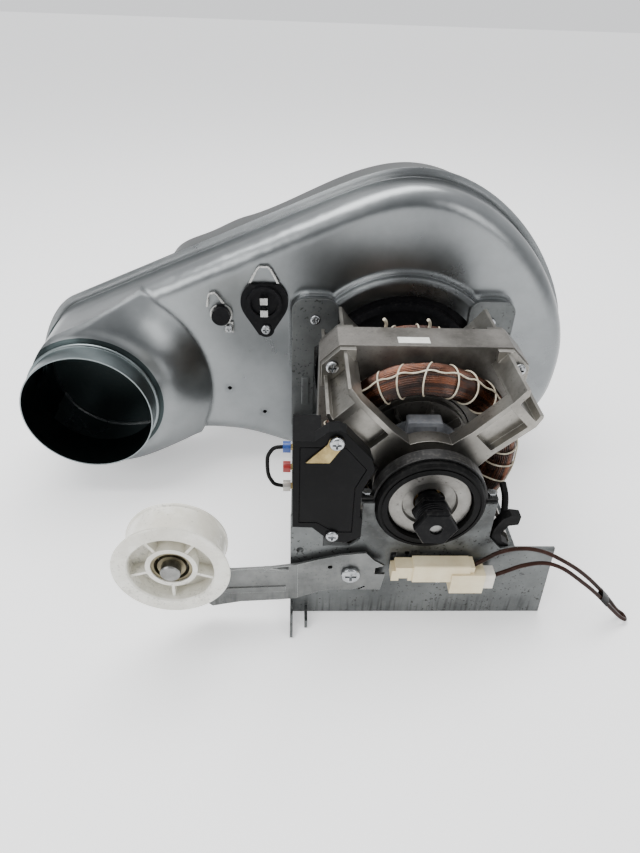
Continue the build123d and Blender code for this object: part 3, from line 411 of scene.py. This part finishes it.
    def _make_mouth_shade_group(self):
        """Painted shade inside a mouth: faces near an axis along Y that look to it or back out of its
        mouth.
        """
        tree, source, result = self._group(
            "MouthShadeGroup",
            [("Vector", "Vector"), ("Color", "Color"), ("MouthShade", "Color"), ("Centre", "Vector"),
             ("Reach", "Float"), ("Front", "Float")],
            [("Color", "Color")])
        link = tree.links.new
        flat, size = self._from_axis(tree, source)
        unit = self._vector(tree, "NORMALIZE")
        shape = tree.nodes.new("ShaderNodeNewGeometry")
        facing = self._vector(tree, "DOT_PRODUCT")
        split = tree.nodes.new("ShaderNodeSeparateXYZ")
        back = self._maths(tree, "MULTIPLY_ADD")
        near = self._maths(tree, "LESS_THAN")
        inward = self._maths(tree, "LESS_THAN", -0.25)
        both = self._maths(tree, "MULTIPLY")
        link(flat.outputs["Vector"], unit.inputs[0])
        link(unit.outputs["Vector"], facing.inputs[0])
        link(shape.outputs["Normal"], facing.inputs[1])
        link(shape.outputs["Normal"], split.inputs["Vector"])
        link(split.outputs["Y"], back.inputs[0])
        link(source.outputs["Front"], back.inputs[1])
        link(facing.outputs["Value"], back.inputs[2])
        link(back.outputs[0], inward.inputs[0])
        link(size.outputs["Value"], near.inputs[0])
        link(source.outputs["Reach"], near.inputs[1])
        link(near.outputs[0], both.inputs[0])
        link(inward.outputs[0], both.inputs[1])
        self._tint(tree, source, result, both.outputs[0], "MouthShade")
        return tree

    def _make_axis_shade_group(self):
        """Painted shade round an axis along Y, and dark streaks that rise from a bottom edge, darker
        towards the bottom.
        """
        tree, source, result = self._group(
            "AxisShadeGroup",
            [("Vector", "Vector"), ("Color", "Color"), ("DarkColour", "Color"), ("Centre", "Vector"),
             ("Near", "Float"), ("Far", "Float"), ("Edge", "Float")],
            [("Color", "Color")])
        link = tree.links.new
        size = self._from_axis(tree, source)[1]
        ring = self._range(tree, 0, 1, 1, 0)
        ring_noise = self._noise(tree, 70, 5)
        uneven = self._range(tree, 0.30, 0.58)
        ring_shade = self._maths(tree, "MULTIPLY")
        drawn = self._vector(tree, "MULTIPLY", (380, 380, 22))
        streak = self._noise(tree, 1, 2)
        lines = self._range(tree, 0.50, 0.68)
        split = tree.nodes.new("ShaderNodeSeparateXYZ")
        low = self._range(tree, 0.004, 1, 1, 0)
        rising = self._maths(tree, "MULTIPLY")
        most = self._maths(tree, "MAXIMUM")
        share = self._maths(tree, "MULTIPLY", 0.85)
        link(size.outputs["Value"], ring.inputs["Value"])
        link(source.outputs["Near"], ring.inputs["From Min"])
        link(source.outputs["Far"], ring.inputs["From Max"])
        link(source.outputs["Vector"], ring_noise.inputs["Vector"])
        link(ring_noise.outputs["Fac"], uneven.inputs["Value"])
        link(ring.outputs["Result"], ring_shade.inputs[0])
        link(uneven.outputs["Result"], ring_shade.inputs[1])
        link(source.outputs["Vector"], drawn.inputs[0])
        link(drawn.outputs["Vector"], streak.inputs["Vector"])
        link(streak.outputs["Fac"], lines.inputs["Value"])
        link(source.outputs["Vector"], split.inputs["Vector"])
        link(split.outputs["Z"], low.inputs["Value"])
        link(source.outputs["Edge"], low.inputs["From Max"])
        link(lines.outputs["Result"], rising.inputs[0])
        link(low.outputs["Result"], rising.inputs[1])
        link(ring_shade.outputs[0], most.inputs[0])
        link(rising.outputs[0], most.inputs[1])
        link(most.outputs[0], share.inputs[0])
        self._tint(tree, source, result, share.outputs[0], "DarkColour")
        return tree


@dataclass(frozen=True)
class MouthShade:
    """Painted shade inside a mouth.

    Args:
        colour: Colour of the painted shade.
        reach: How far from the mouth's axis it goes.
        front: 1 if faces that look back out of the mouth are shaded too.
    """

    colour: Colour
    reach: float
    front: float


@dataclass(frozen=True)
class AxisShade:
    """Painted shade round an axis, and dark streaks from a bottom edge.

    Args:
        colour: Colour of the painted shade and of the streaks.
        near: Radius where the painted shade is darkest.
        far: Radius where it ends.
        edge: Height where the streaks end.
    """

    colour: Colour
    near: float
    far: float
    edge: float


NO_STREAKS = 0.0045      # so low an edge that no streak shows above the base
# painted shade inside the outlet collar's mouth, on the collar and on the housing shells behind it
MOUTH_SHADES = {
    "collar_zinc": MouthShade((0.045, 0.062, 0.062), 0.2, 0.0),
    "housing_zinc": MouthShade((0.040, 0.052, 0.053), 0.056, 1.0),
    "rear_pan_shaded_zinc": MouthShade((0.030, 0.040, 0.041), 0.075, 1.0),
}
# painted shade round the motor axis on the bells, hub cap and bracket, and dark streaks, darker towards
# the bottom, on the bracket and arm
AXIS_SHADES = {
    "bell_casting": AxisShade((0.045, 0.043, 0.040), 0.026, 0.052, NO_STREAKS),
    "hub_cap": AxisShade((0.06, 0.057, 0.052), 0.010, 0.020, NO_STREAKS),
    "bracket_zinc": AxisShade((0.035, 0.036, 0.035), 0.040, 0.066, 0.020),
    "arm_zinc": AxisShade((0.05, 0.05, 0.048), 0.0, 0.0001, 0.036),
}


class PaintShop:
    """Makes each finish's material once and puts it on CAD nodes and new pieces."""

    def __init__(self) -> None:
        self.effects = Effects()
        self.made: dict[str, bpy.types.Material] = {}

    def _relief(self, tree, finish: Finish, where, fine):
        """Height field of the finish's small-scale character.

        Args:
            tree: Material node tree.
            finish: The finish.
            where: Socket with the coordinates.
            fine: Socket with the fine grain.

        Returns:
            The socket to feed a bump node.
        """
        link = tree.links.new
        if finish.grain is Grain.SPANGLE:
            cells = tree.nodes.new("ShaderNodeTexVoronoi")
            cells.inputs["Scale"].default_value = 160
            link(where, cells.inputs["Vector"])
            return cells.outputs["Distance"]
        if finish.grain is Grain.LAYERS:
            layers = tree.nodes.new("ShaderNodeTexWave")
            layers.bands_direction = "Y"
            layers.inputs["Scale"].default_value = 620
            layers.inputs["Distortion"].default_value = 0.4
            link(where, layers.inputs["Vector"])
            return layers.outputs["Fac"]
        if finish.grain is Grain.DIMPLES:
            dots = tree.nodes.new("ShaderNodeTexVoronoi")
            dots.inputs["Scale"].default_value = 420
            dots.inputs["Randomness"].default_value = 0.0
            link(where, dots.inputs["Vector"])
            return dots.outputs["Distance"]
        if finish.grain is Grain.WOVEN:
            weave = tree.nodes.new("ShaderNodeTexWave")
            weave.bands_direction = "DIAGONAL"
            weave.inputs["Scale"].default_value = 900
            weave.inputs["Distortion"].default_value = 2.0
            link(where, weave.inputs["Vector"])
            return weave.outputs["Fac"]
        return fine

    def material(self, finish: Finish) -> bpy.types.Material:
        """Material of a finish, made on first use.

        Args:
            finish: The finish.

        Returns:
            Its node-based material.
        """
        if finish.name in self.made:
            return self.made[finish.name]
        made = bpy.data.materials.new(finish.name)
        made.use_nodes = True
        tree = made.node_tree
        link = tree.links.new
        shader = tree.nodes["Principled BSDF"]
        shader.inputs["Metallic"].default_value = finish.metallic
        shader.inputs["Coat Weight"].default_value = finish.coat
        shader.inputs["Coat Roughness"].default_value = 0.12
        shader.inputs["Specular IOR Level"].default_value = finish.shine
        where = tree.nodes.new("ShaderNodeTexCoord").outputs["Object"]
        patches = tree.nodes.new("ShaderNodeGroup")
        patches.node_tree = self.effects.patches
        patches.inputs["Scale"].default_value = finish.scale
        patches.inputs["Light"].default_value = (*finish.light, 1)
        patches.inputs["Dark"].default_value = (*finish.dark, 1)
        patches.inputs["Roughness"].default_value = finish.roughness
        link(where, patches.inputs["Vector"])
        colour = patches.outputs["Color"]
        if finish.grain is Grain.STRANDS:
            colour = self._strand_colour(tree, finish, colour)
        colour = self._dirt_and_painted_shade(tree, finish, where, colour)
        bump = tree.nodes.new("ShaderNodeBump")
        bump.inputs["Distance"].default_value = finish.bump
        bump.inputs["Strength"].default_value = 0.8
        link(self._relief(tree, finish, where, patches.outputs["Fine"]), bump.inputs["Height"])
        if finish.wear > 0:
            edges = tree.nodes.new("ShaderNodeGroup")
            edges.node_tree = self.effects.worn_edges
            edges.inputs["Amount"].default_value = finish.wear
            bright = [min(1.0, c * 1.5 + 0.08) for c in finish.light]
            edges.inputs["Bright"].default_value = (*bright, 1)
            link(colour, edges.inputs["Color"])
            soft = tree.nodes.new("ShaderNodeBevel")
            soft.samples = 6
            soft.inputs["Radius"].default_value = finish.rounding
            link(soft.outputs["Normal"], bump.inputs["Normal"])
            colour = edges.outputs["Color"]
        link(colour, shader.inputs["Base Color"])
        link(patches.outputs["Roughness"], shader.inputs["Roughness"])
        link(bump.outputs["Normal"], shader.inputs["Normal"])
        self.made[finish.name] = made
        return made

    def _dirt_and_painted_shade(self, tree, finish: Finish, where, colour):
        """Add the specks, the painted shade round the motor axis with its dark streaks, the painted shade
        inside the outlet mouth, and the dust that a finish has.

        Args:
            tree: Material node tree.
            finish: The finish.
            where: Socket with the coordinates.
            colour: Socket with the colour so far.

        Returns:
            Socket with the new colour.
        """
        if finish.specks > 0:
            colour = self._layer(tree, self.effects.specks, where, colour, {"Amount": finish.specks})
        # painted shade round the motor axis, and dark streaks near the bottom
        if finish.name in AXIS_SHADES:
            axis_shade = AXIS_SHADES[finish.name]
            motor = sum(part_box("motor_shaft"), Vector()) / 2
            colour = self._layer(tree, self.effects.axis_shade_group, where, colour,
                                 {"DarkColour": (*axis_shade.colour, 1), "Centre": motor, "Near": axis_shade.near,
                                  "Far": axis_shade.far, "Edge": axis_shade.edge})
        # painted shade inside the outlet mouth
        if finish.name in MOUTH_SHADES:
            mouth_shade = MOUTH_SHADES[finish.name]
            mouth = sum(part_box("outlet_collar"), Vector()) / 2
            colour = self._layer(tree, self.effects.mouth_shade_group, where, colour,
                                 {"MouthShade": (*mouth_shade.colour, 1), "Centre": mouth,
                                  "Reach": mouth_shade.reach, "Front": mouth_shade.front})
        return self._layer(tree, self.effects.dusting, where, colour, {"Amount": finish.dust})

    @staticmethod
    def _layer(tree, group, where, colour, values: dict):
        """Add a node group that changes the colour.

        Args:
            tree: Material node tree.
            group: The group's own tree.
            where: Socket with the coordinates.
            colour: Socket with the colour so far.
            values: Fixed values of its other inputs.

        Returns:
            Socket with the new colour.
        """
        node = tree.nodes.new("ShaderNodeGroup")
        node.node_tree = group
        for label, value in values.items():
            node.inputs[label].default_value = value
        tree.links.new(where, node.inputs["Vector"])
        tree.links.new(colour, node.inputs["Color"])
        return node.outputs["Color"]

    @staticmethod
    def _strand_colour(tree, finish: Finish, colour):
        """Darken each strand of wire by its own amount.

        Args:
            tree: Material node tree.
            finish: The finish.
            colour: Socket with the colour so far.

        Returns:
            Socket with the new colour.
        """
        strand = tree.nodes.new("ShaderNodeAttribute")
        strand.attribute_name = "strand"
        blend = tree.nodes.new("ShaderNodeMix")
        blend.data_type = "RGBA"
        blend.inputs["B"].default_value = (*finish.dark, 1)
        tree.links.new(strand.outputs["Fac"], blend.inputs["Factor"])
        tree.links.new(colour, blend.inputs["A"])
        return blend.outputs["Result"]

    def dress(self, finish: Finish, *nodes: str) -> None:
        """Put a finish on CAD nodes."""
        for name in nodes:
            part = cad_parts[name]
            for slot in part.material_slots:
                slot.material = self.material(finish)
            if not part.material_slots:
                part.data.materials.append(self.material(finish))
            log.info("dressed %s in %s", name, finish.name)

    def piece(self, name: str, data, finish: Finish, body: str, *stands_for: str) -> bpy.types.Object:
        """Add a new piece to a body.

        Args:
            name: Piece name.
            data: Its mesh or curve.
            finish: Its finish.
            body: CAD body that it moves with.
            stands_for: CAD nodes that it replaces.

        Returns:
            The new object.
        """
        made = bpy.data.objects.new(name, data)
        bpy.context.scene.collection.objects.link(made)
        data.materials.append(self.material(finish))
        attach(made, body)
        if stands_for:
            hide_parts(*stands_for)
        log.info("built %s", name)
        return made


# ---- mesh helpers ------------------------------------------------------------------------
def as_mesh(name: str, work: bmesh.types.BMesh, smooth: bool = True) -> bpy.types.Mesh:
    """Turn a bmesh into a mesh, with its normals outwards.

    Args:
        name: Mesh name.
        work: The bmesh, which is freed.
        smooth: Whether its faces are shaded smooth.

    Returns:
        The mesh.
    """
    bmesh.ops.remove_doubles(work, verts=work.verts, dist=1e-7)
    bmesh.ops.recalc_face_normals(work, faces=work.faces)
    for face in work.faces:
        face.smooth = smooth
    mesh = bpy.data.meshes.new(name)
    work.to_mesh(mesh)
    work.free()
    return mesh


def cord_curve(name: str, routes: list[list[Vector]], radius: float, closed: bool) -> bpy.types.Curve:
    """Round cords along smooth routes.

    Args:
        name: Curve name.
        routes: Points of each cord.
        radius: Radius of the cord.
        closed: Whether each route is a loop.

    Returns:
        The curve.
    """
    curve = bpy.data.curves.new(name, "CURVE")
    curve.dimensions = "3D"
    curve.bevel_depth = radius
    curve.bevel_resolution = 3
    curve.use_fill_caps = True
    for route in routes:
        spline = curve.splines.new("NURBS")
        spline.points.add(len(route) - 1)
        for point, place in zip(spline.points, route):
            point.co = (*place, 1)
        spline.order_u = 3
        spline.use_cyclic_u = closed
        spline.use_endpoint_u = not closed
        spline.resolution_u = 8
    return curve


def block(name: str, low: Vector, high: Vector, rounding: float) -> bpy.types.Mesh:
    """Box with rounded edges between two corners.

    Args:
        name: Mesh name.
        low: Lowest corner.
        high: Highest corner.
        rounding: Radius of its edges.

    Returns:
        The mesh.
    """
    work = bmesh.new()
    bmesh.ops.create_cube(work, size=1)
    size = high - low
    bmesh.ops.scale(work, vec=size, verts=work.verts)
    bmesh.ops.translate(work, vec=(low + high) / 2, verts=work.verts)
    bmesh.ops.bevel(work, geom=work.edges[:], offset=rounding, affect="EDGES", segments=2, profile=0.5,
                    material=-1)
    return as_mesh(name, work)


# ---- sub-assemblies ----------------------------------------------------------------------
@dataclass
class Motor:
    """Induction motor: stack, windings, bells, shaft and start switch."""

    shop: PaintShop
    strands: int = 46
    turns: int = 26
    strand_height: float = 0.0010
    lace_radius: float = 0.00055

    def __post_init__(self) -> None:
        low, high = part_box("front_winding")
        self.axis_z = (low.z + high.z) / 2
        self.middle = (low.y + high.y) / 2
        self.half_axial = (high.y - low.y) / 2
        self.outer = (high.x - low.x) / 2
        back_low, back_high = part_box("rear_winding")
        self.rear_middle = (back_low.y + back_high.y) / 2

    @property
    def half_radial(self) -> float:
        """Half the radial width of a winding head."""
        return 0.011

    def _winding(self, name: str, middle: float, seed: int) -> bpy.types.Mesh:
        """Winding head as a bundle of strands.

        Args:
            name: Mesh name.
            middle: Its place along the shaft.
            seed: Seed of its unevenness.

        Returns:
            The mesh, with the strand attribute.
        """
        draw = random.Random(seed)
        radius = self.outer - self.half_radial
        points = self.strands * 4
        work = bmesh.new()
        bmesh.ops.create_circle(work, segments=points, radius=1)
        for corner in work.verts:
            angle = math.atan2(corner.co.y, corner.co.x)
            ridge = abs(math.sin(angle * self.strands / 2))
            across = self.half_radial - self.strand_height * (1 - ridge)
            along = self.half_axial - self.strand_height * (1 - ridge)
            corner.co = Vector((radius + across * math.cos(angle), along * math.sin(angle), 0))
        bmesh.ops.spin(work, geom=work.verts[:] + work.edges[:], cent=(0, 0, 0), axis=(0, 1, 0),
                       angle=math.tau, steps=120, use_merge=True, use_duplicate=False)
        tones = [draw.random() * 0.95 for _ in range(self.strands)]
        for corner in work.verts:
            place = corner.co.copy()
            swell = noise.noise(place * 42 + Vector((seed, 0, 0))) * 0.0013
            wander = noise.noise(place * 160 + Vector((0, seed, 0))) * 0.0004
            outward = Vector((place.x, 0, place.z)).normalized()
            section = (place - outward * radius).normalized()
            corner.co = place + section * (swell + wander - 0.0009)
        mesh = as_mesh(name, work)
        tone = mesh.attributes.new("strand", "FLOAT", "POINT")
        for corner in mesh.vertices:
            ring = math.hypot(corner.co.x, corner.co.z) - radius
            angle = math.atan2(corner.co.y, ring) % math.tau
            tone.data[corner.index].value = tones[int(angle / math.tau * self.strands) % self.strands]
        mesh.transform(Matrix.Translation((0, middle, self.axis_z)))
        return mesh

    def _lacing(self, name: str, middle: float, seed: int) -> bpy.types.Curve:
        """Cream cord lashed round a winding head: tied hoops and a running thread.

        Args:
            name: Curve name.
            middle: Place of the head along the shaft.
            seed: Seed of its unevenness.

        Returns:
            The curve.
        """
        draw = random.Random(seed)
        radius = self.outer - self.half_radial

        def on_head(around: float, section: float, lift: float) -> Vector:
            """Point on the head's surface at two angles."""
            reach = radius + (self.half_radial + lift) * math.cos(section)
            along = middle + (self.half_axial + lift) * math.sin(section)
            return Vector((reach * math.cos(around), along, self.axis_z - reach * math.sin(around)))

        hoops = []
        thread = []
        for turn in range(self.turns):
            start = math.radians(turn * 360 / self.turns + 6 + draw.uniform(-2, 2))
            lean = math.radians(draw.uniform(-5, 5))
            hoops.append([on_head(start + lean * math.sin(step * math.tau / 20), step * math.tau / 20,
                                  -0.0004) for step in range(20)])
            thread.append(on_head(start, math.radians(-22), 0.0002))
            thread.append(on_head(start + math.pi / self.turns, math.radians(-36), -0.0001))
        return cord_curve(name, hoops + [thread], self.lace_radius, True)

    def build(self) -> None:
        """Build the windings and lacing, and dress the rest."""
        shop = self.shop
        shop.piece("front_winding_strands", self._winding("front_strands", self.middle, 3), COPPER,
                   "frame", "front_winding")
        shop.piece("rear_winding_strands", self._winding("rear_strands", self.rear_middle, 8), COPPER,
                   "frame", "rear_winding")
        shop.piece("front_lacing_cord", self._lacing("front_lace", self.middle, 5), LACING, "frame",
                   "front_lacing")
        shop.piece("rear_lacing_cord", self._lacing("rear_lace", self.rear_middle, 6), LACING, "frame",
                   "rear_lacing")
        shop.piece("stack_label", self._label(), LABEL, "frame")
        shop.piece("tie_ends", self._tie_ends(), LACING, "frame")
        shop.dress(CORE, "stator_core", "rotor_core")
        shop.dress(PAPER, "slot_insulators")
        shop.dress(CASTING, "front_end_bell", "rear_end_bell")
        shop.dress(BRONZE, "front_bearing", "rear_bearing")
        shop.dress(ZINC, "through_bolts", "switch_screws")
        shop.dress(CAP, "front_hub_disc")
        shop.dress(SHAFT, "motor_shaft")
        shop.dress(GOVERNOR, "governor_plate", "governor_collar")
        shop.dress(PULLEY, "drive_pulley")
        shop.dress(SWITCH, "switch_case", "switch_lever")
        shop.dress(BRASS, "switch_tab", "switch_blades")
        shop.dress(BLUE, "blue_crimp")
        shop.dress(RED, "red_crimp")
        shop.dress(CLEAR, "bare_crimp")
        shop.dress(BLACK_WIRE, "switch_wire", "motor_lead", "cable_clip")

    def _label(self) -> bpy.types.Mesh:
        """Blank label on top of the stack."""
        low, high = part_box("stator_core")
        return block("label", Vector((-0.018, low.y + 0.004, high.z)),
                     Vector((0.003, low.y + 0.012, high.z + 0.0002)), 0.00008)

    def _tie_ends(self) -> bpy.types.Curve:
        """Loose ends of two cable ties behind the stack."""
        low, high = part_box("stator_core")
        routes = []
        for x in (-0.024, 0.006):
            routes.append([Vector((x, high.y + 0.006, high.z - 0.014)),
                           Vector((x + 0.0005, high.y + 0.005, high.z - 0.004)),
                           Vector((x + 0.001, high.y + 0.0045, high.z + 0.002)),
                           Vector((x - 0.0015, high.y + 0.002, high.z + 0.005))])
        return cord_curve("tie_ends", routes, 0.0011, False)


@dataclass
class Blower:
    """Scroll housing, duct collar, wheel and the sensors on the housing."""

    shop: PaintShop
    sheet: float = 0.0007
    step: float = 0.0005
    scans: int = 90
    stations: int = 60
    open_depth: float = 0.02
    behind_collar: float = 0.003
    seam_margin: float = 0.006

    def _side_strip(self) -> bpy.types.Mesh:
        """Strip of side wall that closes the slit beside the collar.

        Returns:
            The mesh, which follows the wall just below and just above the slit.
        """
        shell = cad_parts["housing_front"].data
        tree = BVHTree.FromPolygons([corner.co for corner in shell.vertices],
                                    [face.vertices[:] for face in shell.polygons])
        low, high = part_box("outlet_collar")
        centre = (low + high) / 2
        front, seam = (corner.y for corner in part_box("housing_front"))

        def wall(y: float, z: float) -> float:
            """Outer face of the side wall at a place, or the duct's middle where it is open."""
            hit = tree.ray_cast(Vector((low.x - 0.1, y, z)), Vector((1, 0, 0)))[0]
            return hit.x if hit and hit.x < centre.x - self.open_depth else centre.x

        heights = [centre.z + self.step * count for count in range(self.scans)]
        gap = [z for z in heights if wall(high.y + self.behind_collar, z) == centre.x]
        bottom, top = gap[0] - 2 * self.step, gap[-1] + 2 * self.step
        reach = seam - front - self.seam_margin
        along = [front + self.step + reach * count / self.stations for count in range(self.stations + 1)]
        work = bmesh.new()
        rows = []
        for share in (0.0, 0.25, 0.5, 0.75, 1.0):
            z = bottom + (top - bottom) * share
            places = [wall(y, bottom) * (1 - share) + wall(y, top) * share for y in along]
            rows.append([work.verts.new((x, y, z)) for x, y in zip(places, along)])
        for before, after in zip(rows, rows[1:]):
            for here in range(self.stations):
                work.faces.new((before[here], before[here + 1], after[here + 1], after[here]))
        bmesh.ops.solidify(work, geom=work.faces[:], thickness=self.sheet)
        return as_mesh("side_wall_strip", work)

    def build(self) -> None:
        """Dress the blower."""
        shop = self.shop
        shop.piece("side_wall_strip", self._side_strip(), HOUSING, "frame")
        shop.dress(HOUSING, "housing_front")
        # rear shell in the housing steel, darkened as painted shade
        shop.dress(SHADED_REAR_PAN, "housing_rear")
        shop.dress(COLLAR, "outlet_collar")
        shop.dress(SEAL, "shaft_seal_plate", "thermostat", "thermistor")
        shop.dress(FELT, "inlet_seal")
        shop.dress(WHEEL, "blower_wheel")
        shop.dress(CLAMP, "wheel_clamp")
        shop.dress(TINNED, "thermostat_blades", "thermistor_clip", "sensor_loops")
        shop.dress(ZINC, "sensor_screws")


@dataclass
class Cradle:
    """Bracket, cushion rings, straps and their bolts."""

    shop: PaintShop

    def build(self) -> None:
        """Dress the cradle."""
        shop = self.shop
        shop.dress(BRACKET, "base_bracket", "rear_plate")
        shop.dress(CUSHION, "front_cushion_ring", "rear_cushion_ring")
        shop.dress(STRAP, "front_strap", "rear_strap")
        shop.dress(ZINC, "strap_bolts", "frame_screws", "pivot_bolt")
        shop.dress(CLAMP, "idler_spring")


@dataclass
class Idler:
    """Belt idler on its arm."""

    shop: PaintShop

    def build(self) -> None:
        """Dress the idler."""
        self.shop.dress(ARM, "idler_arm")
        self.shop.dress(SHAFT, "idler_axle")
        self.shop.dress(NYLON, "idler_pulley")
        self.shop.dress(RING, "idler_bearing_outer", "idler_bearing_inner")


@dataclass
class Wiring:
    """Connector, its plug and the brown wire that loops between them."""

    shop: PaintShop
    radius: float = 0.0014
    route: list[tuple[float, float, float]] = field(default_factory=lambda: [
        (33.0, -89.2, 55.5), (40, -89, 61), (48, -88.5, 67.5), (62, -88.5, 71.5), (77, -88.5, 68.5),
        (92, -88.2, 59.5), (107, -87.6, 48.5), (122, -87, 34), (137, -86.5, 17),
        (145.0, -86.1, 6.2), (150.8, -86.1, 2.2), (150.9, -92.3, 2.3), (145.0, -92.2, 6.2),
        (135.5, -91.9, 16), (120.5, -91.3, 31.5), (105, -91.2, 45), (92, -91.0, 55.5),
        (79, -90.8, 60.5), (65, -90.4, 57), (55, -90.1, 50.5), (47.5, -90.0, 46.5)])

    def build(self) -> None:
        """Lay the wire and dress the connector."""
        points = [Vector(point) * MM for point in self.route]
        curve = cord_curve("brown_wire", [points], self.radius, False)
        wire = self.shop.piece("brown_wire", curve, BROWN_WIRE, "frame", "thermal_wire")
        tape = self.shop.piece("wire_tape", self._tape(points), BLACK_WIRE, "frame")
        self.shop.dress(IVORY, "connector_housing")
        self.shop.dress(PLUG, "connector_plug")

    def _tape(self, points: list[Vector]) -> bpy.types.Mesh:
        """Black tape round both runs of the wire.

        Args:
            points: The wire's route.

        Returns:
            The mesh.
        """
        upper = (points[7] + points[8]) / 2
        lower = (points[13] * 0.6 + points[14] * 0.4)
        middle = (upper + lower) / 2
        along = (points[8] - points[7]).normalized()
        across = (upper - lower).normalized()
        normal = along.cross(across).normalized()
        across = normal.cross(along).normalized()
        work = bmesh.new()
        ring = bmesh.ops.create_circle(work, segments=24, radius=1)["verts"]
        half_width = (upper - lower).length / 2 + self.radius * 1.25
        bmesh.ops.scale(work, vec=(half_width, self.radius * 1.3, 1), verts=ring)
        rim = work.edges[:]
        sleeve = bmesh.ops.extrude_edge_only(work, edges=rim)["geom"]
        moved = [item for item in sleeve if isinstance(item, bmesh.types.BMVert)]
        bmesh.ops.translate(work, vec=(0, 0, 0.010), verts=moved)
        bmesh.ops.translate(work, vec=(0, 0, -0.005), verts=work.verts)
        mesh = as_mesh("tape", work)
        turn = Matrix((across, normal, along)).transposed().to_4x4()
        mesh.transform(Matrix.Translation(middle) @ turn)
        return mesh


@dataclass
class Studio:
    """Pale floor, soft light and the camera."""

    place: Vector = field(default_factory=lambda: Vector((-0.0844594, -0.3756129, 0.3713145)))
    yaw: float = math.radians(2.695288)
    pitch: float = math.radians(35.555776)
    roll: float = math.radians(2.139529)
    lens: float = 27.05

    def _camera(self) -> None:
        """Camera with its own yaw, pitch and roll."""
        forward = Vector((math.sin(self.yaw) * math.cos(self.pitch),
                          math.cos(self.yaw) * math.cos(self.pitch), -math.sin(self.pitch)))
        level = Vector((math.cos(self.yaw), -math.sin(self.yaw), 0))
        upward = level.cross(forward)
        right = level * math.cos(self.roll) + upward * math.sin(self.roll)
        above = upward * math.cos(self.roll) - level * math.sin(self.roll)
        data = bpy.data.cameras.new("camera")
        data.sensor_width = 36
        data.lens = self.lens
        data.clip_start = 0.01
        camera = bpy.data.objects.new("camera", data)
        turn = Matrix((right, above, -forward)).transposed().to_4x4()
        camera.matrix_world = Matrix.Translation(self.place) @ turn
        bpy.context.scene.collection.objects.link(camera)
        bpy.context.scene.camera = camera

    @staticmethod
    def _floor() -> None:
        """Large pale floor just under the object."""
        work = bmesh.new()
        bmesh.ops.create_grid(work, x_segments=1, y_segments=1, size=6)
        mesh = as_mesh("floor", work)
        floor = bpy.data.objects.new("floor", mesh)
        floor.location.z = -0.0005
        made = bpy.data.materials.new("pale_floor")
        made.use_nodes = True
        paint = made.node_tree.nodes["Principled BSDF"]
        paint.inputs["Base Color"].default_value = (0.97, 0.97, 0.97, 1)
        paint.inputs["Roughness"].default_value = 0.9
        paint.inputs["Specular IOR Level"].default_value = 0.0
        paint.inputs["Emission Color"].default_value = (1, 1, 1, 1)
        paint.inputs["Emission Strength"].default_value = 0.45
        mesh.materials.append(made)
        bpy.context.scene.collection.objects.link(floor)

    @staticmethod
    def _lamp(name: str, place: Vector, aim: Vector, width: float, height: float, power: float) -> None:
        """Soft rectangular lamp.

        Args:
            name: Lamp name.
            place: Where it stands.
            aim: Point that it looks at.
            width: Width of its face.
            height: Height of its face.
            power: Watts.
        """
        data = bpy.data.lights.new(name, "AREA")
        data.shape = "RECTANGLE"
        data.size = width
        data.size_y = height
        data.energy = power
        lamp = bpy.data.objects.new(name, data)
        lamp.location = place
        lamp.rotation_euler = (aim - place).to_track_quat("-Z", "Y").to_euler()
        bpy.context.scene.collection.objects.link(lamp)

    def build(self) -> None:
        """Set up floor, light and camera."""
        self._camera()
        self._floor()
        self._sky()
        centre = Vector((-0.06, 0.02, 0.1))
        self._lamp("overhead", Vector((-0.25, 0.25, 1.3)), centre, 1.6, 0.5, 20)
        self._lamp("front_left", Vector((-1.1, -1.0, 0.9)), centre, 0.7, 0.7, 9)
        self._lamp("front_right", Vector((0.9, -1.1, 0.8)), centre, 0.5, 0.8, 5)

    @staticmethod
    def _sky() -> None:
        """Soft light all round: bright above and behind, dimmer low down in front."""
        world = bpy.data.worlds.new("studio")
        world.use_nodes = True
        tree = world.node_tree
        link = tree.links.new
        backdrop = tree.nodes["Background"]
        backdrop.inputs["Strength"].default_value = 1.15
        where = tree.nodes.new("ShaderNodeTexCoord").outputs["Generated"]
        toward = tree.nodes.new("ShaderNodeVectorMath")
        toward.operation = "DOT_PRODUCT"
        toward.inputs[1].default_value = (0.0, 0.75, 0.66)
        ramp = tree.nodes.new("ShaderNodeMapRange")
        ramp.inputs["From Min"].default_value = -0.45
        ramp.inputs["From Max"].default_value = 0.45
        blend = tree.nodes.new("ShaderNodeMix")
        blend.data_type = "RGBA"
        blend.inputs["A"].default_value = (0.20, 0.21, 0.22, 1)
        blend.inputs["B"].default_value = (0.97, 0.98, 1.0, 1)
        link(where, toward.inputs[0])
        link(toward.outputs["Value"], ramp.inputs["Value"])
        link(ramp.outputs["Result"], blend.inputs["Factor"])
        link(blend.outputs["Result"], backdrop.inputs["Color"])
        bpy.context.scene.world = world


def main() -> None:
    """Build the studio and each sub-assembly in order."""
    Studio().build()
    shop = PaintShop()
    for assembly in (Wiring(shop), Motor(shop), Blower(shop), Cradle(shop), Idler(shop)):
        assembly.build()
        log.info("%s done", type(assembly).__name__)


if __name__ == "__main__":
    main()
